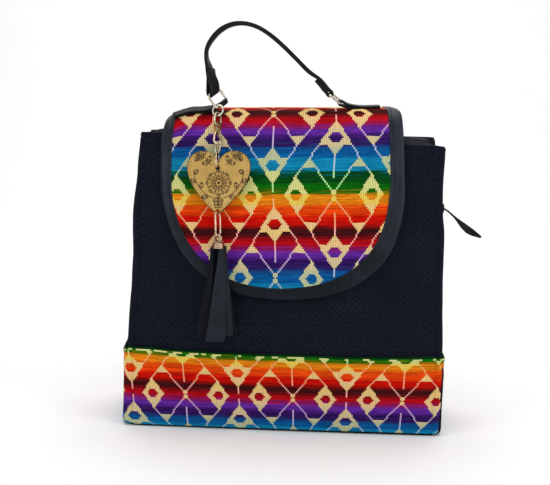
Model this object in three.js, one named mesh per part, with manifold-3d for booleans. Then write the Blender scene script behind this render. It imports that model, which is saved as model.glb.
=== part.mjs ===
// Small woven bag: a boxy cloth body with a woven base band, a zipped top, a woven
// flap edged in leather, a leather carrying handle on two metal rings, and a wooden
// heart charm with a leather tassel on a short chain.
// Millimetres, +Z up, front towards -Y. Origin: centre of the flat base.
import * as THREE from 'three';
import { mergeVertices } from 'three/addons/utils/BufferGeometryUtils.js';
import Module from 'manifold-3d';

const wasm = await Module();
wasm.setup();

// ---------------------------------------------------------------- driving sizes
const GAP = 0.3;             // clearance kept between touching pieces

const CLOTH_T = 2.0;         // body cloth with its backing
const BAND_T = 2.2;          // woven base band with its backing
const CORNER_R = 7.0;        // upright body corners, navy cloth
const BAND_CORNER_R = 9.0;   // upright corners of the base band
const BODY_TOP = 268.6;      // top edge of the upright panels
const BODY_LOW = 66.0;       // lower edge of the navy cloth, tucked behind the band
const BAND_TOP = 75.0;
const BASE_T = 2.5;          // flat bottom
const TOP_EDGE_Z = 270.9;    // outer edge of the top strips
const TOP_RISE = 8.5;        // how far the zipped ridge stands above that edge

const ZIP_Y = 3.0;           // ridge line, measured in depth
const ZIP_HALF = 6.7;        // half the visible tape width
const ZIP_T = 1.4;
const ZIP_TEETH_HALF = 2.6;
const ZIP_TEETH_H = 1.2;
const ZIP_END_Z = 200.0;     // how far the zip comes down the sides
const ZIP_TURN_R = 11.0;     // turn of the zip from the top to the side

const FLAP_X = -8.5;         // crest of the flap, in the body frame
const FLAP_Z = 297.5;
const FLAP_SKEW = THREE.MathUtils.degToRad(2.2); // the flap hangs slightly askew
const FLAP_T = 2.2;
const FLAP_W = 112.0;        // half width of the flap
const FLAP_LOW_START = 95.0; // arc length where the round lower edge begins
const FLAP_LOW_H = 106.8;    // height of the round lower edge along the cloth
const FLAP_ROUND = 2.3;      // exponent of the round lower edge
const BIND_W = 12.0;         // leather edge, width
const BIND_PROUD = 0.5;      // leather edge stands proud of the weave
const BIND_UNDER = 0.5;
const EDGE_BACK = 7.0;       // flap sides fall back towards the body
const DROOP_LEFT = 11.0;     // the crest droops at its outer corners
const DROOP_RIGHT = 4.0;

const RING_WIRE_R = 1.0;     // handle rings
const RING_BAR = 16.4;       // between the arms' centre lines
const RING_H = 13.6;
const STRAP_W = 11.6;        // leather handle
const STRAP_T = 4.0;         // along the arch
const TAIL_T = 2.0;          // at the folded ends
const TAB_W = 10.4;          // ring tabs, narrowed where they turn round the bar
const TAB_LOOP_W = 8.0;
const TAB_T = 2.0;

const SPLIT_R = 5.1;
const SPLIT_WIRE_R = 0.75;
const LINK_L = 12.4;         // charm chain links, outside
const LINK_W = 8.4;
const LINK_WIRE_R = 0.7;
const HEART_T = 3.0;
const HEART_HOLE_R = 1.9;
const CAP_R = 5.4;
const TASSEL_LEN = 80.0;

// Silhouette and depth of the navy body by height.
const BODY_ROWS = [
  { z: 66, left: -147.0, right: 145.0, front: -53.5, back: 54.0, bulgeF: 12.6, bulgeB: 4.0, bulgeS: 1.0 },
  { z: 84, left: -146.6, right: 144.7, front: -53.0, back: 53.6, bulgeF: 13.2, bulgeB: 4.5, bulgeS: 1.2 },
  { z: 120, left: -144.6, right: 143.4, front: -51.5, back: 52.6, bulgeF: 13.0, bulgeB: 5.0, bulgeS: 1.6 },
  { z: 158, left: -143.2, right: 141.8, front: -49.5, back: 51.4, bulgeF: 10.8, bulgeB: 4.5, bulgeS: 1.8 },
  { z: 205, left: -144.2, right: 139.4, front: -46.5, back: 49.8, bulgeF: 6.6, bulgeB: 3.5, bulgeS: 1.4 },
  { z: 240, left: -142.0, right: 139.0, front: -44.0, back: 48.8, bulgeF: 3.6, bulgeB: 2.2, bulgeS: 0.8 },
  { z: 269, left: -139.6, right: 140.0, front: -42.0, back: 48.0, bulgeF: 1.6, bulgeB: 1.0, bulgeS: 0.2 },
];

// The base band, one row per height, tucked under at the foot.
const BAND_ROWS = [
  { z: 0, left: -145.6, right: 144.8, front: -53.2, back: 53.4, bulgeF: 1.2, bulgeB: 0.8, bulgeS: 0.3 },
  { z: 1.6, left: -148.0, right: 147.2, front: -55.4, back: 55.6, bulgeF: 1.6, bulgeB: 1.0, bulgeS: 0.4 },
  { z: 5, left: -149.3, right: 148.3, front: -56.5, back: 56.8, bulgeF: 2.4, bulgeB: 1.4, bulgeS: 0.5 },
  { z: 28, left: -149.7, right: 148.1, front: -57.0, back: 57.4, bulgeF: 7.0, bulgeB: 2.6, bulgeS: 0.8 },
  { z: 52, left: -150.2, right: 147.8, front: -57.0, back: 57.4, bulgeF: 11.0, bulgeB: 3.6, bulgeS: 1.0 },
  { z: 75, left: -150.6, right: 147.6, front: -56.8, back: 57.2, bulgeF: 13.4, bulgeB: 4.4, bulgeS: 1.0 },
];

// The flap's side profile from its sewn end on the back, over the crest, down the front.
const FLAP_PROFILE = [
  { y: 56.2, z: -66 }, { y: 56.8, z: -46 }, { y: 55.8, z: -28 }, { y: 47, z: -9.5 },
  { y: 25, z: -1.6 }, { y: -2, z: 0 }, { y: -22, z: -0.8 }, { y: -33, z: -4.2 },
  { y: -41, z: -12 }, { y: -46.5, z: -24 }, { y: -51.5, z: -44 }, { y: -57, z: -70 },
  { y: -62.5, z: -100 }, { y: -67, z: -130 }, { y: -69.5, z: -160 }, { y: -70, z: -182 },
];

// Half width of the flap above its round lower edge.
const FLAP_WIDTHS = [
  { s: -110, half: 106 }, { s: -45, half: 107.5 }, { s: 0, half: 109.5 },
  { s: 30, half: 110.4 }, { s: 60, half: 111.8 }, { s: 95, half: 112 },
];

// Centre line of the handle between its two folded ends, in the flap's frame.
// turn: 0 where the strap's width follows the left ring, 1 where it lies front to back.
const HANDLE_ROWS = [
  { x: -68.2, y: -33.4, z: 28, turn: 0.0, t: 2.2 },
  { x: -70.0, y: -32.8, z: 37.5, turn: 0.25, t: 2.8 },
  { x: -71.6, y: -32.0, z: 46, turn: 0.7, t: 3.6 },
  { x: -70.6, y: -31.4, z: 54, turn: 1.0, t: 4.0 },
  { x: -66.2, y: -30.8, z: 62.5, turn: 1.0, t: 4.0 },
  { x: -58.4, y: -30.2, z: 70.6, turn: 1.0, t: 4.0 },
  { x: -48.0, y: -29.6, z: 75.8, turn: 1.0, t: 4.0 },
  { x: -36.0, y: -29.0, z: 76.6, turn: 1.0, t: 4.0 },
  { x: -24.0, y: -28.2, z: 73.0, turn: 1.0, t: 4.0 },
  { x: -12.0, y: -27.2, z: 65.4, turn: 1.0, t: 4.0 },
  { x: 0.0, y: -26.0, z: 55.0, turn: 1.0, t: 4.0 },
  { x: 11.0, y: -24.8, z: 44.2, turn: 1.0, t: 4.0 },
  { x: 21.6, y: -23.6, z: 33.6, turn: 1.0, t: 4.0 },
  { x: 30.6, y: -22.4, z: 25.4, turn: 1.0, t: 3.0 },
];

// ---------------------------------------------------------------- small tools
const V = (x, y, z) => new THREE.Vector3(x, y, z);
const lerp = (a, b, k) => a + (b - a) * k;
const clamp01 = (k) => Math.min(1, Math.max(0, k));
const smooth = (k) => { const c = clamp01(k); return c * c * (3 - 2 * c); };
const range = (n) => Array.from({ length: n }, (_, i) => i);

// Smooth value of one column of a table at a place between its rows.
function column(rows, key, col, at) {
  const n = rows.length;
  if (at <= rows[0][key]) return rows[0][col];
  if (at >= rows[n - 1][key]) return rows[n - 1][col];
  let i = 0;
  while (at > rows[i + 1][key]) i++;
  const slope = (a) => {
    const lo = Math.max(0, a - 1), hi = Math.min(n - 1, a + 1);
    return (rows[hi][col] - rows[lo][col]) / (rows[hi][key] - rows[lo][key]);
  };
  const h = rows[i + 1][key] - rows[i][key];
  const k = (at - rows[i][key]) / h;
  const k2 = k * k, k3 = k2 * k;
  return (2 * k3 - 3 * k2 + 1) * rows[i][col] + (k3 - 2 * k2 + k) * h * slope(i)
    + (-2 * k3 + 3 * k2) * rows[i + 1][col] + (k3 - k2) * h * slope(i + 1);
}

// A closed body from shared points and triangles, turned so that its faces point out.
function closedBody(points, faces) {
  let volume = 0;
  for (const [a, b, c] of faces) volume += points[a].dot(V().crossVectors(points[b], points[c]));
  const out = volume < 0 ? faces.map(([a, b, c]) => [a, c, b]) : faces;
  const geometry = new THREE.BufferGeometry();
  geometry.setAttribute('position', new THREE.Float32BufferAttribute(points.flatMap((p) => [p.x, p.y, p.z]), 3));
  geometry.setIndex(out.flat());
  geometry.computeVertexNormals();
  return geometry;
}

// A wall between an outer and an inner grid of points.
function wall(outer, inner) {
  const rows = outer.length, cols = outer[0].length;
  const points = [...outer.flat(), ...inner.flat()];
  const o = (i, j) => i * cols + j;
  const n = (i, j) => rows * cols + i * cols + j;
  const faces = [];
  const quad = (a, b, c, d) => faces.push([a, b, c], [a, c, d]);
  for (let i = 0; i < rows - 1; i++) {
    for (let j = 0; j < cols - 1; j++) {
      quad(o(i, j), o(i, j + 1), o(i + 1, j + 1), o(i + 1, j));
      quad(n(i, j), n(i + 1, j), n(i + 1, j + 1), n(i, j + 1));
    }
  }
  for (let j = 0; j < cols - 1; j++) {
    quad(o(0, j), n(0, j), n(0, j + 1), o(0, j + 1));
    quad(o(rows - 1, j), o(rows - 1, j + 1), n(rows - 1, j + 1), n(rows - 1, j));
  }
  for (let i = 0; i < rows - 1; i++) {
    quad(o(i, 0), o(i + 1, 0), n(i + 1, 0), n(i, 0));
    quad(o(i, cols - 1), n(i, cols - 1), n(i + 1, cols - 1), o(i + 1, cols - 1));
  }
  return closedBody(points, faces);
}

// A body lofted through sections of equal point count: capped, or closed on itself.
function loft(sections, ring = false) {
  const m = sections[0].length, n = sections.length;
  const points = sections.flat();
  const faces = [];
  const last = ring ? n : n - 1;
  for (let i = 0; i < last; i++) {
    const a = i * m, b = ((i + 1) % n) * m;
    for (let j = 0; j < m; j++) {
      const k = (j + 1) % m;
      faces.push([a + j, a + k, b + k], [a + j, b + k, b + j]);
    }
  }
  if (!ring) {
    for (const [start, flip] of [[0, true], [(n - 1) * m, false]]) {
      const middle = V();
      for (let j = 0; j < m; j++) middle.add(points[start + j]);
      points.push(middle.divideScalar(m));
      const c = points.length - 1;
      for (let j = 0; j < m; j++) {
        const k = (j + 1) % m;
        faces.push(flip ? [c, start + k, start + j] : [c, start + j, start + k]);
      }
    }
  }
  return closedBody(points, faces);
}

// A wire bent into a flat closed loop.
function wireLoop(path, normal, radius, sides = 6) {
  const n = path.length;
  return loft(path.map((p, i) => {
    const along = path[(i + 1) % n].clone().sub(path[(i + n - 1) % n]).normalize();
    const out = V().crossVectors(along, normal).normalize();
    return range(sides).map((k) => {
      const a = (2 * Math.PI * k) / sides;
      return p.clone().addScaledVector(out, radius * Math.cos(a)).addScaledVector(normal, radius * Math.sin(a));
    });
  }), true);
}

// A flat strip along a route. Each station has a point p, a width direction w, a width and a thickness.
function strip(stations) {
  const n = stations.length;
  return loft(stations.map((q, i) => {
    const along = stations[Math.min(n - 1, i + 1)].p.clone().sub(stations[Math.max(0, i - 1)].p).normalize();
    const up = V().crossVectors(along, q.w).normalize();
    const across = V().crossVectors(up, along).normalize();
    const corner = (a, b) => q.p.clone().addScaledVector(across, a * q.width / 2).addScaledVector(up, b * q.t / 2);
    return [corner(-1, -1), corner(1, -1), corner(1, 1), corner(-1, 1)];
  }));
}

// Booleans on closed bodies.
function asSolid(geometry) {
  const bare = geometry.index ? geometry.clone() : geometry.clone();
  bare.deleteAttribute('normal');
  bare.deleteAttribute('uv');
  const merged = mergeVertices(bare, 1e-4);
  return new wasm.Manifold(new wasm.Mesh({
    numProp: 3,
    vertProperties: new Float32Array(merged.attributes.position.array),
    triVerts: new Uint32Array(merged.index.array),
  }));
}
function asGeometry(solid) {
  const mesh = solid.getMesh();
  const geometry = new THREE.BufferGeometry();
  geometry.setAttribute('position', new THREE.Float32BufferAttribute(mesh.vertProperties, 3));
  geometry.setIndex(Array.from(mesh.triVerts));
  geometry.computeVertexNormals();
  return geometry;
}
const cut = (geometry, ...tools) => asGeometry(tools.reduce((s, t) => s.subtract(asSolid(t)), asSolid(geometry)));

const bag = new THREE.Group();
const FINISH = {
  navy: { color: 0x14151f, roughness: 0.95, metalness: 0.0 },
  weave: { color: 0xc8501e, roughness: 0.9, metalness: 0.0 },
  leather: { color: 0x1d2026, roughness: 0.5, metalness: 0.0 },
  silver: { color: 0xcfc8b0, roughness: 0.25, metalness: 1.0 },
  gold: { color: 0xc9a44c, roughness: 0.3, metalness: 1.0 },
  wood: { color: 0xd8b878, roughness: 0.6, metalness: 0.0 },
  zip: { color: 0x101114, roughness: 0.6, metalness: 0.0 },
};
function add(parent, name, geometry, finish) {
  const mesh = new THREE.Mesh(geometry, new THREE.MeshStandardMaterial(FINISH[finish]));
  mesh.name = name;
  parent.add(mesh);
  return mesh;
}

// ---------------------------------------------------------------- body panels
// One plan outline: four sides, each a list of points with outward plan normals.
const bow = (k) => 1 - Math.pow(Math.abs(2 * k - 1), 2.2);

function outlineSide(rows, radius, side, z, count) {
  const g = (col) => column(rows, 'z', col, z);
  const left = g('left'), right = g('right'), front = g('front'), back = g('back');
  const out = [];
  if (side === 'front' || side === 'back') {
    const sign = side === 'front' ? -1 : 1;
    const y = side === 'front' ? front : back;
    const bulge = g(side === 'front' ? 'bulgeF' : 'bulgeB');
    for (let i = 0; i <= count; i++) {
      const k = lerp(0.0022, 0.9978, i / count);
      out.push({ x: lerp(left + radius, right - radius, k), y: y + sign * bulge * bow(k), nx: 0, ny: sign });
    }
  } else {
    const sign = side === 'left' ? -1 : 1;
    const x = side === 'left' ? left : right;
    const bulge = g('bulgeS');
    const turns = 4;
    for (let i = 0; i <= turns; i++) {
      const a = (Math.PI / 2) * (i / turns);
      out.push({ x: x - sign * radius + sign * radius * Math.sin(a), y: front + radius - radius * Math.cos(a), nx: sign * Math.sin(a), ny: -Math.cos(a) });
    }
    for (let i = 1; i < count; i++) {
      const k = i / count;
      out.push({ x: x + sign * bulge * bow(k), y: lerp(front + radius, back - radius, k), nx: sign, ny: 0 });
    }
    for (let i = 0; i <= turns; i++) {
      const a = (Math.PI / 2) * (1 - i / turns);
      out.push({ x: x - sign * radius + sign * radius * Math.sin(a), y: back - radius + radius * Math.cos(a), nx: sign * Math.sin(a), ny: Math.cos(a) });
    }
  }
  return out;
}

function bodyPanel(rows, radius, side, heights, thickness, count) {
  const grid = (depth) => heights.map((z) => outlineSide(rows, radius, side, z, count)
    .map((q) => V(q.x - q.nx * depth, q.y - q.ny * depth, z)));
  return wall(grid(0), grid(thickness));
}

const navyHeights = [BODY_LOW, 84, 110, 138, 166, 196, 224, 248, BODY_TOP];
const bandHeights = [0, 1.6, 5, 28, 52, BAND_TOP];
const zipSlot = (sign) => {
  const box = new THREE.BoxGeometry(30, 2 * (ZIP_HALF + GAP), 120);
  box.translate(sign * 141, ZIP_Y, ZIP_END_Z - 1 + 60);
  return box;
};

add(bag, 'front_panel', bodyPanel(BODY_ROWS, CORNER_R, 'front', navyHeights, CLOTH_T, 12), 'navy');
add(bag, 'back_panel', bodyPanel(BODY_ROWS, CORNER_R, 'back', navyHeights, CLOTH_T, 10), 'navy');
for (const [side, sign] of [['left', -1], ['right', 1]]) {
  add(bag, `side_panel_${side}`, cut(bodyPanel(BODY_ROWS, CORNER_R, side, navyHeights, CLOTH_T, 6), zipSlot(sign)), 'navy');
}
for (const side of ['front', 'back', 'left', 'right']) {
  add(bag, `base_band_${side}`, bodyPanel(BAND_ROWS, BAND_CORNER_R, side, bandHeights, BAND_T, side === 'left' || side === 'right' ? 5 : 14), 'weave');
}

// Flat bottom inside the foot of the band.
{
  const inset = BAND_T + GAP;
  const ring = ['front', 'right', 'back', 'left'].flatMap((side) => {
    const line = outlineSide(BAND_ROWS, BAND_CORNER_R, side, 0, side === 'left' || side === 'right' ? 4 : 10);
    const points = line.map((q) => [q.x - q.nx * inset, q.y - q.ny * inset]);
    return side === 'back' || side === 'left' ? points.reverse() : points;
  });
  const sections = [0, BASE_T].map((z) => ring.map(([x, y]) => V(x, y, z)));
  add(bag, 'base_panel', loft(sections), 'navy');
}

// ---------------------------------------------------------------- zipped top
const ridgeZ = (x) => TOP_EDGE_Z + TOP_RISE * Math.max(0, 1 - Math.pow(Math.abs(x) / 136, 2));
function topEdgeY(x, sign) {
  const rows = BODY_ROWS, z = BODY_TOP;
  const left = column(rows, 'z', 'left', z), right = column(rows, 'z', 'right', z);
  const base = column(rows, 'z', sign < 0 ? 'front' : 'back', z);
  const bulge = column(rows, 'z', sign < 0 ? 'bulgeF' : 'bulgeB', z);
  const k = clamp01((x - left - CORNER_R) / (right - left - 2 * CORNER_R));
  const over = Math.max(0, x - (right - CORNER_R), left + CORNER_R - x);
  const corner = CORNER_R - Math.sqrt(Math.max(0, CORNER_R * CORNER_R - over * over));
  return base + sign * bulge * bow(k) - sign * corner;
}
for (const [name, sign] of [['front', -1], ['back', 1]]) {
  const xs = range(17).map((i) => lerp(-138.4, 138.8, i / 16));
  const ks = range(5).map((i) => i / 4);
  const inner = ZIP_Y + sign * (ZIP_HALF + GAP + 0.2);
  const grid = (depth) => xs.map((x) => ks.map((k) => {
    const rise = (ridgeZ(x) - TOP_EDGE_Z) * Math.sin((k * Math.PI) / 2);
    return V(x, lerp(topEdgeY(x, sign), inner, k), TOP_EDGE_Z + rise - depth);
  }));
  add(bag, `top_panel_${name}`, wall(grid(0), grid(CLOTH_T)), 'navy');
}

// The zip: tape with a raised row of teeth, along the ridge and down both sides.
{
  const sideX = (z, sign) => column(BODY_ROWS, 'z', sign < 0 ? 'left' : 'right', z) + sign * column(BODY_ROWS, 'z', 'bulgeS', z);
  const half = (sign) => {
    const turnZ = TOP_EDGE_Z - ZIP_TURN_R;
    const path = [];
    for (const z of [ZIP_END_Z, 215, 230, 245, turnZ]) path.push([sideX(z, sign), z]);
    const cx = sideX(turnZ, sign) - sign * ZIP_TURN_R;
    for (let i = 1; i <= 4; i++) {
      const a = (Math.PI / 2) * (i / 4);
      path.push([cx + sign * ZIP_TURN_R * Math.cos(a), turnZ + ZIP_TURN_R * Math.sin(a)]);
    }
    return path;
  };
  const left = half(-1), right = half(1);
  const ridge = range(9).map((i) => lerp(-112, 112, i / 8)).map((x) => [x, ridgeZ(x)]);
  const path = [...left, ...ridge, ...right.reverse()];
  const section = [
    { y: -ZIP_HALF, n: -ZIP_T }, { y: ZIP_HALF, n: -ZIP_T }, { y: ZIP_HALF, n: 0 }, { y: ZIP_TEETH_HALF, n: 0 },
    { y: ZIP_TEETH_HALF, n: ZIP_TEETH_H }, { y: -ZIP_TEETH_HALF, n: ZIP_TEETH_H }, { y: -ZIP_TEETH_HALF, n: 0 }, { y: -ZIP_HALF, n: 0 },
  ];
  const sections = path.map(([x, z], i) => {
    const a = path[Math.max(0, i - 1)], b = path[Math.min(path.length - 1, i + 1)];
    const along = new THREE.Vector2(b[0] - a[0], b[1] - a[1]).normalize();
    return section.map((q) => V(x - along.y * q.n, ZIP_Y + q.y, z + along.x * q.n));
  });
  add(bag, 'zip', loft(sections), 'zip');

  // Slider and leather pull at the right-hand end.
  const sx = sideX(207, 1) + ZIP_TEETH_H + 2 * GAP;
  const slider = [
    { z: 200.5, half: 2.4, depth: 3.0 }, { z: 203, half: 4.0, depth: 3.6 },
    { z: 210, half: 4.4, depth: 3.6 }, { z: 213.5, half: 3.0, depth: 2.8 },
  ];
  add(bag, 'zip_slider', loft(slider.map((q) => [
    V(sx, ZIP_Y - q.half, q.z), V(sx + q.depth, ZIP_Y - q.half + 0.8, q.z),
    V(sx + q.depth, ZIP_Y + q.half - 0.8, q.z), V(sx, ZIP_Y + q.half, q.z),
  ])), 'silver');
  const pull = [
    { x: 147.3, z: 206.6, width: 3.0, t: 2.0 }, { x: 150.5, z: 205.0, width: 3.2, t: 2.0 },
    { x: 157.0, z: 199.6, width: 3.6, t: 2.0 }, { x: 162.5, z: 195.0, width: 5.0, t: 2.0 },
    { x: 168.0, z: 190.6, width: 8.2, t: 2.0 }, { x: 175.0, z: 186.0, width: 9.0, t: 2.0 },
    { x: 181.0, z: 182.4, width: 8.6, t: 2.0 }, { x: 184.6, z: 180.4, width: 5.0, t: 2.0 },
  ];
  add(bag, 'zip_pull', strip(pull.map((q) => ({ p: V(q.x, ZIP_Y, q.z), w: V(0.55, 0, 0.83), width: q.width, t: q.t }))), 'leather');
}

// ---------------------------------------------------------------- flap
const flap = new THREE.Group();
flap.position.set(FLAP_X, 0, FLAP_Z);
flap.rotation.y = -FLAP_SKEW;
bag.add(flap);

// The profile as a smooth curve measured by arc length from the crest.
const profile = (() => {
  const curve = new THREE.SplineCurve(FLAP_PROFILE.map((q) => new THREE.Vector2(q.y, q.z)));
  const steps = 600;
  const points = range(steps + 1).map((i) => curve.getPoint(i / steps));
  const length = [0];
  for (let i = 1; i <= steps; i++) length.push(length[i - 1] + points[i].distanceTo(points[i - 1]));
  let top = 0;
  points.forEach((p, i) => { if (p.y > points[top].y) top = i; });
  const zero = length[top];
  return {
    start: -zero,
    end: length[steps] - zero,
    at(s) {
      const want = s + zero;
      let lo = 0, hi = steps;
      while (hi - lo > 1) { const mid = (lo + hi) >> 1; if (length[mid] <= want) lo = mid; else hi = mid; }
      const k = (want - length[lo]) / (length[hi] - length[lo]);
      return { y: lerp(points[lo].x, points[hi].x, k), z: lerp(points[lo].y, points[hi].y, k) };
    },
  };
})();

function flapPoint(x, s) {
  const q = profile.at(s);
  const fall = EDGE_BACK * smooth((s - 20) / 120) * Math.pow(x / FLAP_W, 2);
  const near = smooth(1 - Math.max(0, Math.abs(s - 6) - 22) / 45);
  const droopL = x < -84 ? DROOP_LEFT * Math.pow((-x - 84) / 26, 2) : 0;
  const droopR = x > 94 ? DROOP_RIGHT * Math.pow((x - 94) / 16, 2) : 0;
  const droop = (droopL + droopR) * near;
  const out = 0.6 * droop * THREE.MathUtils.clamp((s - 6) / 24, -1, 1);
  return V(x, q.y + fall - out, q.z - droop);
}
function onFlap(x, s, off) {
  const d = 0.5;
  const dx = flapPoint(x + d, s).sub(flapPoint(x - d, s));
  const ds = flapPoint(x, s + d).sub(flapPoint(x, s - d));
  const normal = V().crossVectors(ds, dx).normalize();
  return flapPoint(x, s).addScaledVector(normal, off);
}

// Outline of the flap as stations from the left sewn end round the foot to the right sewn end,
// at a given distance inside the outer edge.
const FLAP_BACK = profile.start + 1.0;
const straightS = [FLAP_BACK, -80, -50, -34, -20, -6, 8, 18, 26, 34, 42, 52, 66, 80, FLAP_LOW_START];
const roundSteps = 12;
function edgePoint(side, i, inset) {
  if (i < straightS.length) {
    const s = straightS[i];
    return { x: side * (column(FLAP_WIDTHS, 's', 'half', s) - inset), s };
  }
  const a = (Math.PI / 2) * ((i - straightS.length + 1) / roundSteps);
  const p = 2 / FLAP_ROUND;
  return {
    x: side * (FLAP_W - inset) * Math.pow(Math.max(0, Math.cos(a)), p),
    s: FLAP_LOW_START + (FLAP_LOW_H - inset) * Math.pow(Math.sin(a), p),
  };
}
const stationCount = straightS.length + roundSteps; // the last one is at the foot of the flap

{
  const inset = BIND_W + 0.6;
  const rows = stationCount - 1;
  const cols = 9;
  const grid = (off) => range(rows).map((i) => {
    const l = edgePoint(-1, i, inset), r = edgePoint(1, i, inset);
    return range(cols + 1).map((j) => onFlap(lerp(l.x, r.x, j / cols), l.s, off));
  });
  add(flap, 'flap_panel', wall(grid(0), grid(-FLAP_T)), 'weave');

  const order = [...range(stationCount).map((i) => [-1, i]), ...range(stationCount - 1).reverse().map((i) => [1, i])];
  const high = BIND_PROUD, low = -FLAP_T - BIND_UNDER;
  const section = [
    { in: 0.0, n: high - 1.0 }, { in: 0.9, n: high }, { in: BIND_W, n: high },
    { in: BIND_W, n: low }, { in: 0.9, n: low }, { in: 0.0, n: low + 1.0 },
  ];
  add(flap, 'flap_binding', loft(order.map(([side, i]) => section.map((q) => {
    const e = edgePoint(side, i, q.in);
    return onFlap(e.x, e.s, q.n);
  }))), 'leather');
}

// ---------------------------------------------------------------- handle, its rings and tabs
// A ring: a straight bar, two arms and a rounded top, from the bar's centre, its direction and the way up.
function handleRing(centre, bar, upHint) {
  const b = bar.clone().normalize();
  const up = upHint.clone().addScaledVector(b, -upHint.dot(b)).normalize();
  const normal = V().crossVectors(b, up).normalize();
  const round = 4.0, foot = 1.4;
  const outline = [];
  const corner = (cx, cy, r, from, steps) => range(steps + 1).forEach((i) => {
    const a = from + (Math.PI / 2) * (i / steps);
    outline.push([cx + r * Math.cos(a), cy + r * Math.sin(a)]);
  });
  const h = RING_BAR / 2;
  corner(h - foot, foot, foot, -Math.PI / 2, 2);
  corner(h - round, RING_H - round, round, 0, 4);
  corner(-h + round, RING_H - round, round, Math.PI / 2, 4);
  corner(-h + foot, foot, foot, Math.PI, 2);
  const path = outline.map(([u, v]) => centre.clone().addScaledVector(b, u).addScaledVector(up, v));
  return { geometry: wireLoop(path, normal, RING_WIRE_R), b, up, normal, centre, top: centre.clone().addScaledVector(up, RING_H) };
}

const ringLeft = handleRing(V(-57.7, -36, 4.2), V(0.56, 0.68, 0.44), V(-0.53, 0, 0.85));
const ringRight = handleRing(V(51.6, -22, 4.8), V(0, 1, 0), V(-11.1, 0, 9.2));
add(flap, 'd_ring_left', ringLeft.geometry, 'silver');
add(flap, 'd_ring_right', ringRight.geometry, 'silver');

// Half a turn of a strip round a wire: from -side, past the far point, to +side.
function turnRound(centre, side, far, radius, w, width, t, steps = 6) {
  return range(steps + 1).map((i) => {
    const a = -Math.PI / 2 + Math.PI * (i / steps);
    return { p: centre.clone().addScaledVector(side, radius * Math.sin(a)).addScaledVector(far, radius * Math.cos(a)), w, width, t };
  });
}

// Leather tabs on the crest: a strip sewn to the flap, turned round the ring's bar and back over itself.
function ringTab(ring, mirror, s, slide, stations) {
  const dir = V(mirror, 0, 0);
  const far = dir.clone().addScaledVector(ring.b, -dir.dot(ring.b)).normalize();
  const side = V().crossVectors(ring.b, far).normalize();
  if (side.z < 0) side.negate();
  const radius = RING_WIRE_R + GAP + TAB_T / 2 + 0.1;
  const wFlat = onFlap(stations[0].x, s - 2, 0).sub(onFlap(stations[0].x, s + 2, 0)).normalize();
  const w = (k) => wFlat.clone().lerp(ring.b, k).normalize();
  const layer = (col) => stations.map((q) => ({
    p: onFlap(q.x, s, q[col]).addScaledVector(ring.b, slide * q.turn), w: w(q.turn), width: lerp(TAB_W, TAB_LOOP_W, q.turn), t: TAB_T,
  }));
  const lower = layer('low'), upper = layer('high').reverse();
  const middle = ring.centre.clone().addScaledVector(ring.b, slide);
  return strip([...lower, ...turnRound(middle, side, far, radius, ring.b, TAB_LOOP_W, TAB_T), ...upper]);
}
add(flap, 'ring_tab_left', ringTab(ringLeft, 1, 25, 2.4, [
  { x: -94, low: 1.7, high: 4.2, turn: 0 }, { x: -84, low: 1.7, high: 4.3, turn: 0.1 },
  { x: -75, low: 2.4, high: 5.2, turn: 0.35 }, { x: -67, low: 4.6, high: 8.0, turn: 0.8 },
]), 'leather');
add(flap, 'ring_tab_right', ringTab(ringRight, -1, 15.5, 0, [
  { x: 95, low: 1.5, high: 3.9, turn: 0 }, { x: 84, low: 1.5, high: 3.9, turn: 0.2 },
  { x: 72, low: 1.7, high: 4.2, turn: 0.6 }, { x: 61, low: 2.6, high: 6.6, turn: 1 },
]), 'leather');

// The handle: one strip with both ends folded through the rings.
{
  const yAxis = V(0, 1, 0);
  const turned = (k) => ringLeft.b.clone().lerp(yAxis, smooth(k)).normalize();
  const radius = RING_WIRE_R + GAP + TAIL_T / 2 + 0.7;

  const upL = V(-0.18, 0, 0.98);
  const farL = upL.clone().addScaledVector(ringLeft.b, -upL.dot(ringLeft.b)).normalize().negate();
  const sideL = V().crossVectors(ringLeft.b, farL).normalize();
  if (sideL.y > 0) sideL.negate(); // towards the front, where the tail lies
  const loopL = turnRound(ringLeft.top, sideL.clone().negate(), farL, radius, ringLeft.b, STRAP_W, TAIL_T);
  const tailL = [
    { p: V(-64.4, -37.6, 36.5), w: turned(0.1), width: STRAP_W * 0.9, t: TAIL_T },
    { p: V(-64.2, -37.8, 29.5), w: turned(0.05), width: STRAP_W, t: TAIL_T },
    { p: V(-63.2, -38.0, 22.5), w: turned(0), width: STRAP_W, t: TAIL_T },
  ];

  const upR = V(-0.72, 0, 0.7);
  const farR = upR.clone().negate();
  const sideR = V(-0.7, 0, -0.72).normalize(); // the tail lies below the strap
  const loopR = turnRound(ringRight.top, sideR, farR, radius + 0.5, yAxis, STRAP_W, TAIL_T);
  const tailR = [
    { p: V(33.6, -22, 18.0), w: yAxis, width: STRAP_W, t: TAIL_T },
    { p: V(28.2, -22.2, 22.8), w: yAxis, width: STRAP_W * 0.9, t: TAIL_T },
  ];
  const arch = new THREE.CatmullRomCurve3(HANDLE_ROWS.map((q) => V(q.x, q.y, q.z)));
  const rows = HANDLE_ROWS.map((q, i) => ({ ...q, i }));
  const steps = (HANDLE_ROWS.length - 1) * 2;
  const main = range(steps + 1).map((i) => {
    const at = (i / steps) * (HANDLE_ROWS.length - 1);
    return {
      p: arch.getPoint(i / steps), w: turned(column(rows, 'i', 'turn', at)),
      width: STRAP_W, t: column(rows, 'i', 't', at),
    };
  });
  // loops run from the -side to the +side: the left one is entered from the tail, the right one from the strap
  add(flap, 'handle', strip([...tailL, ...loopL, ...main, ...loopR.map((q) => q), ...tailR]), 'leather');
}

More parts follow.
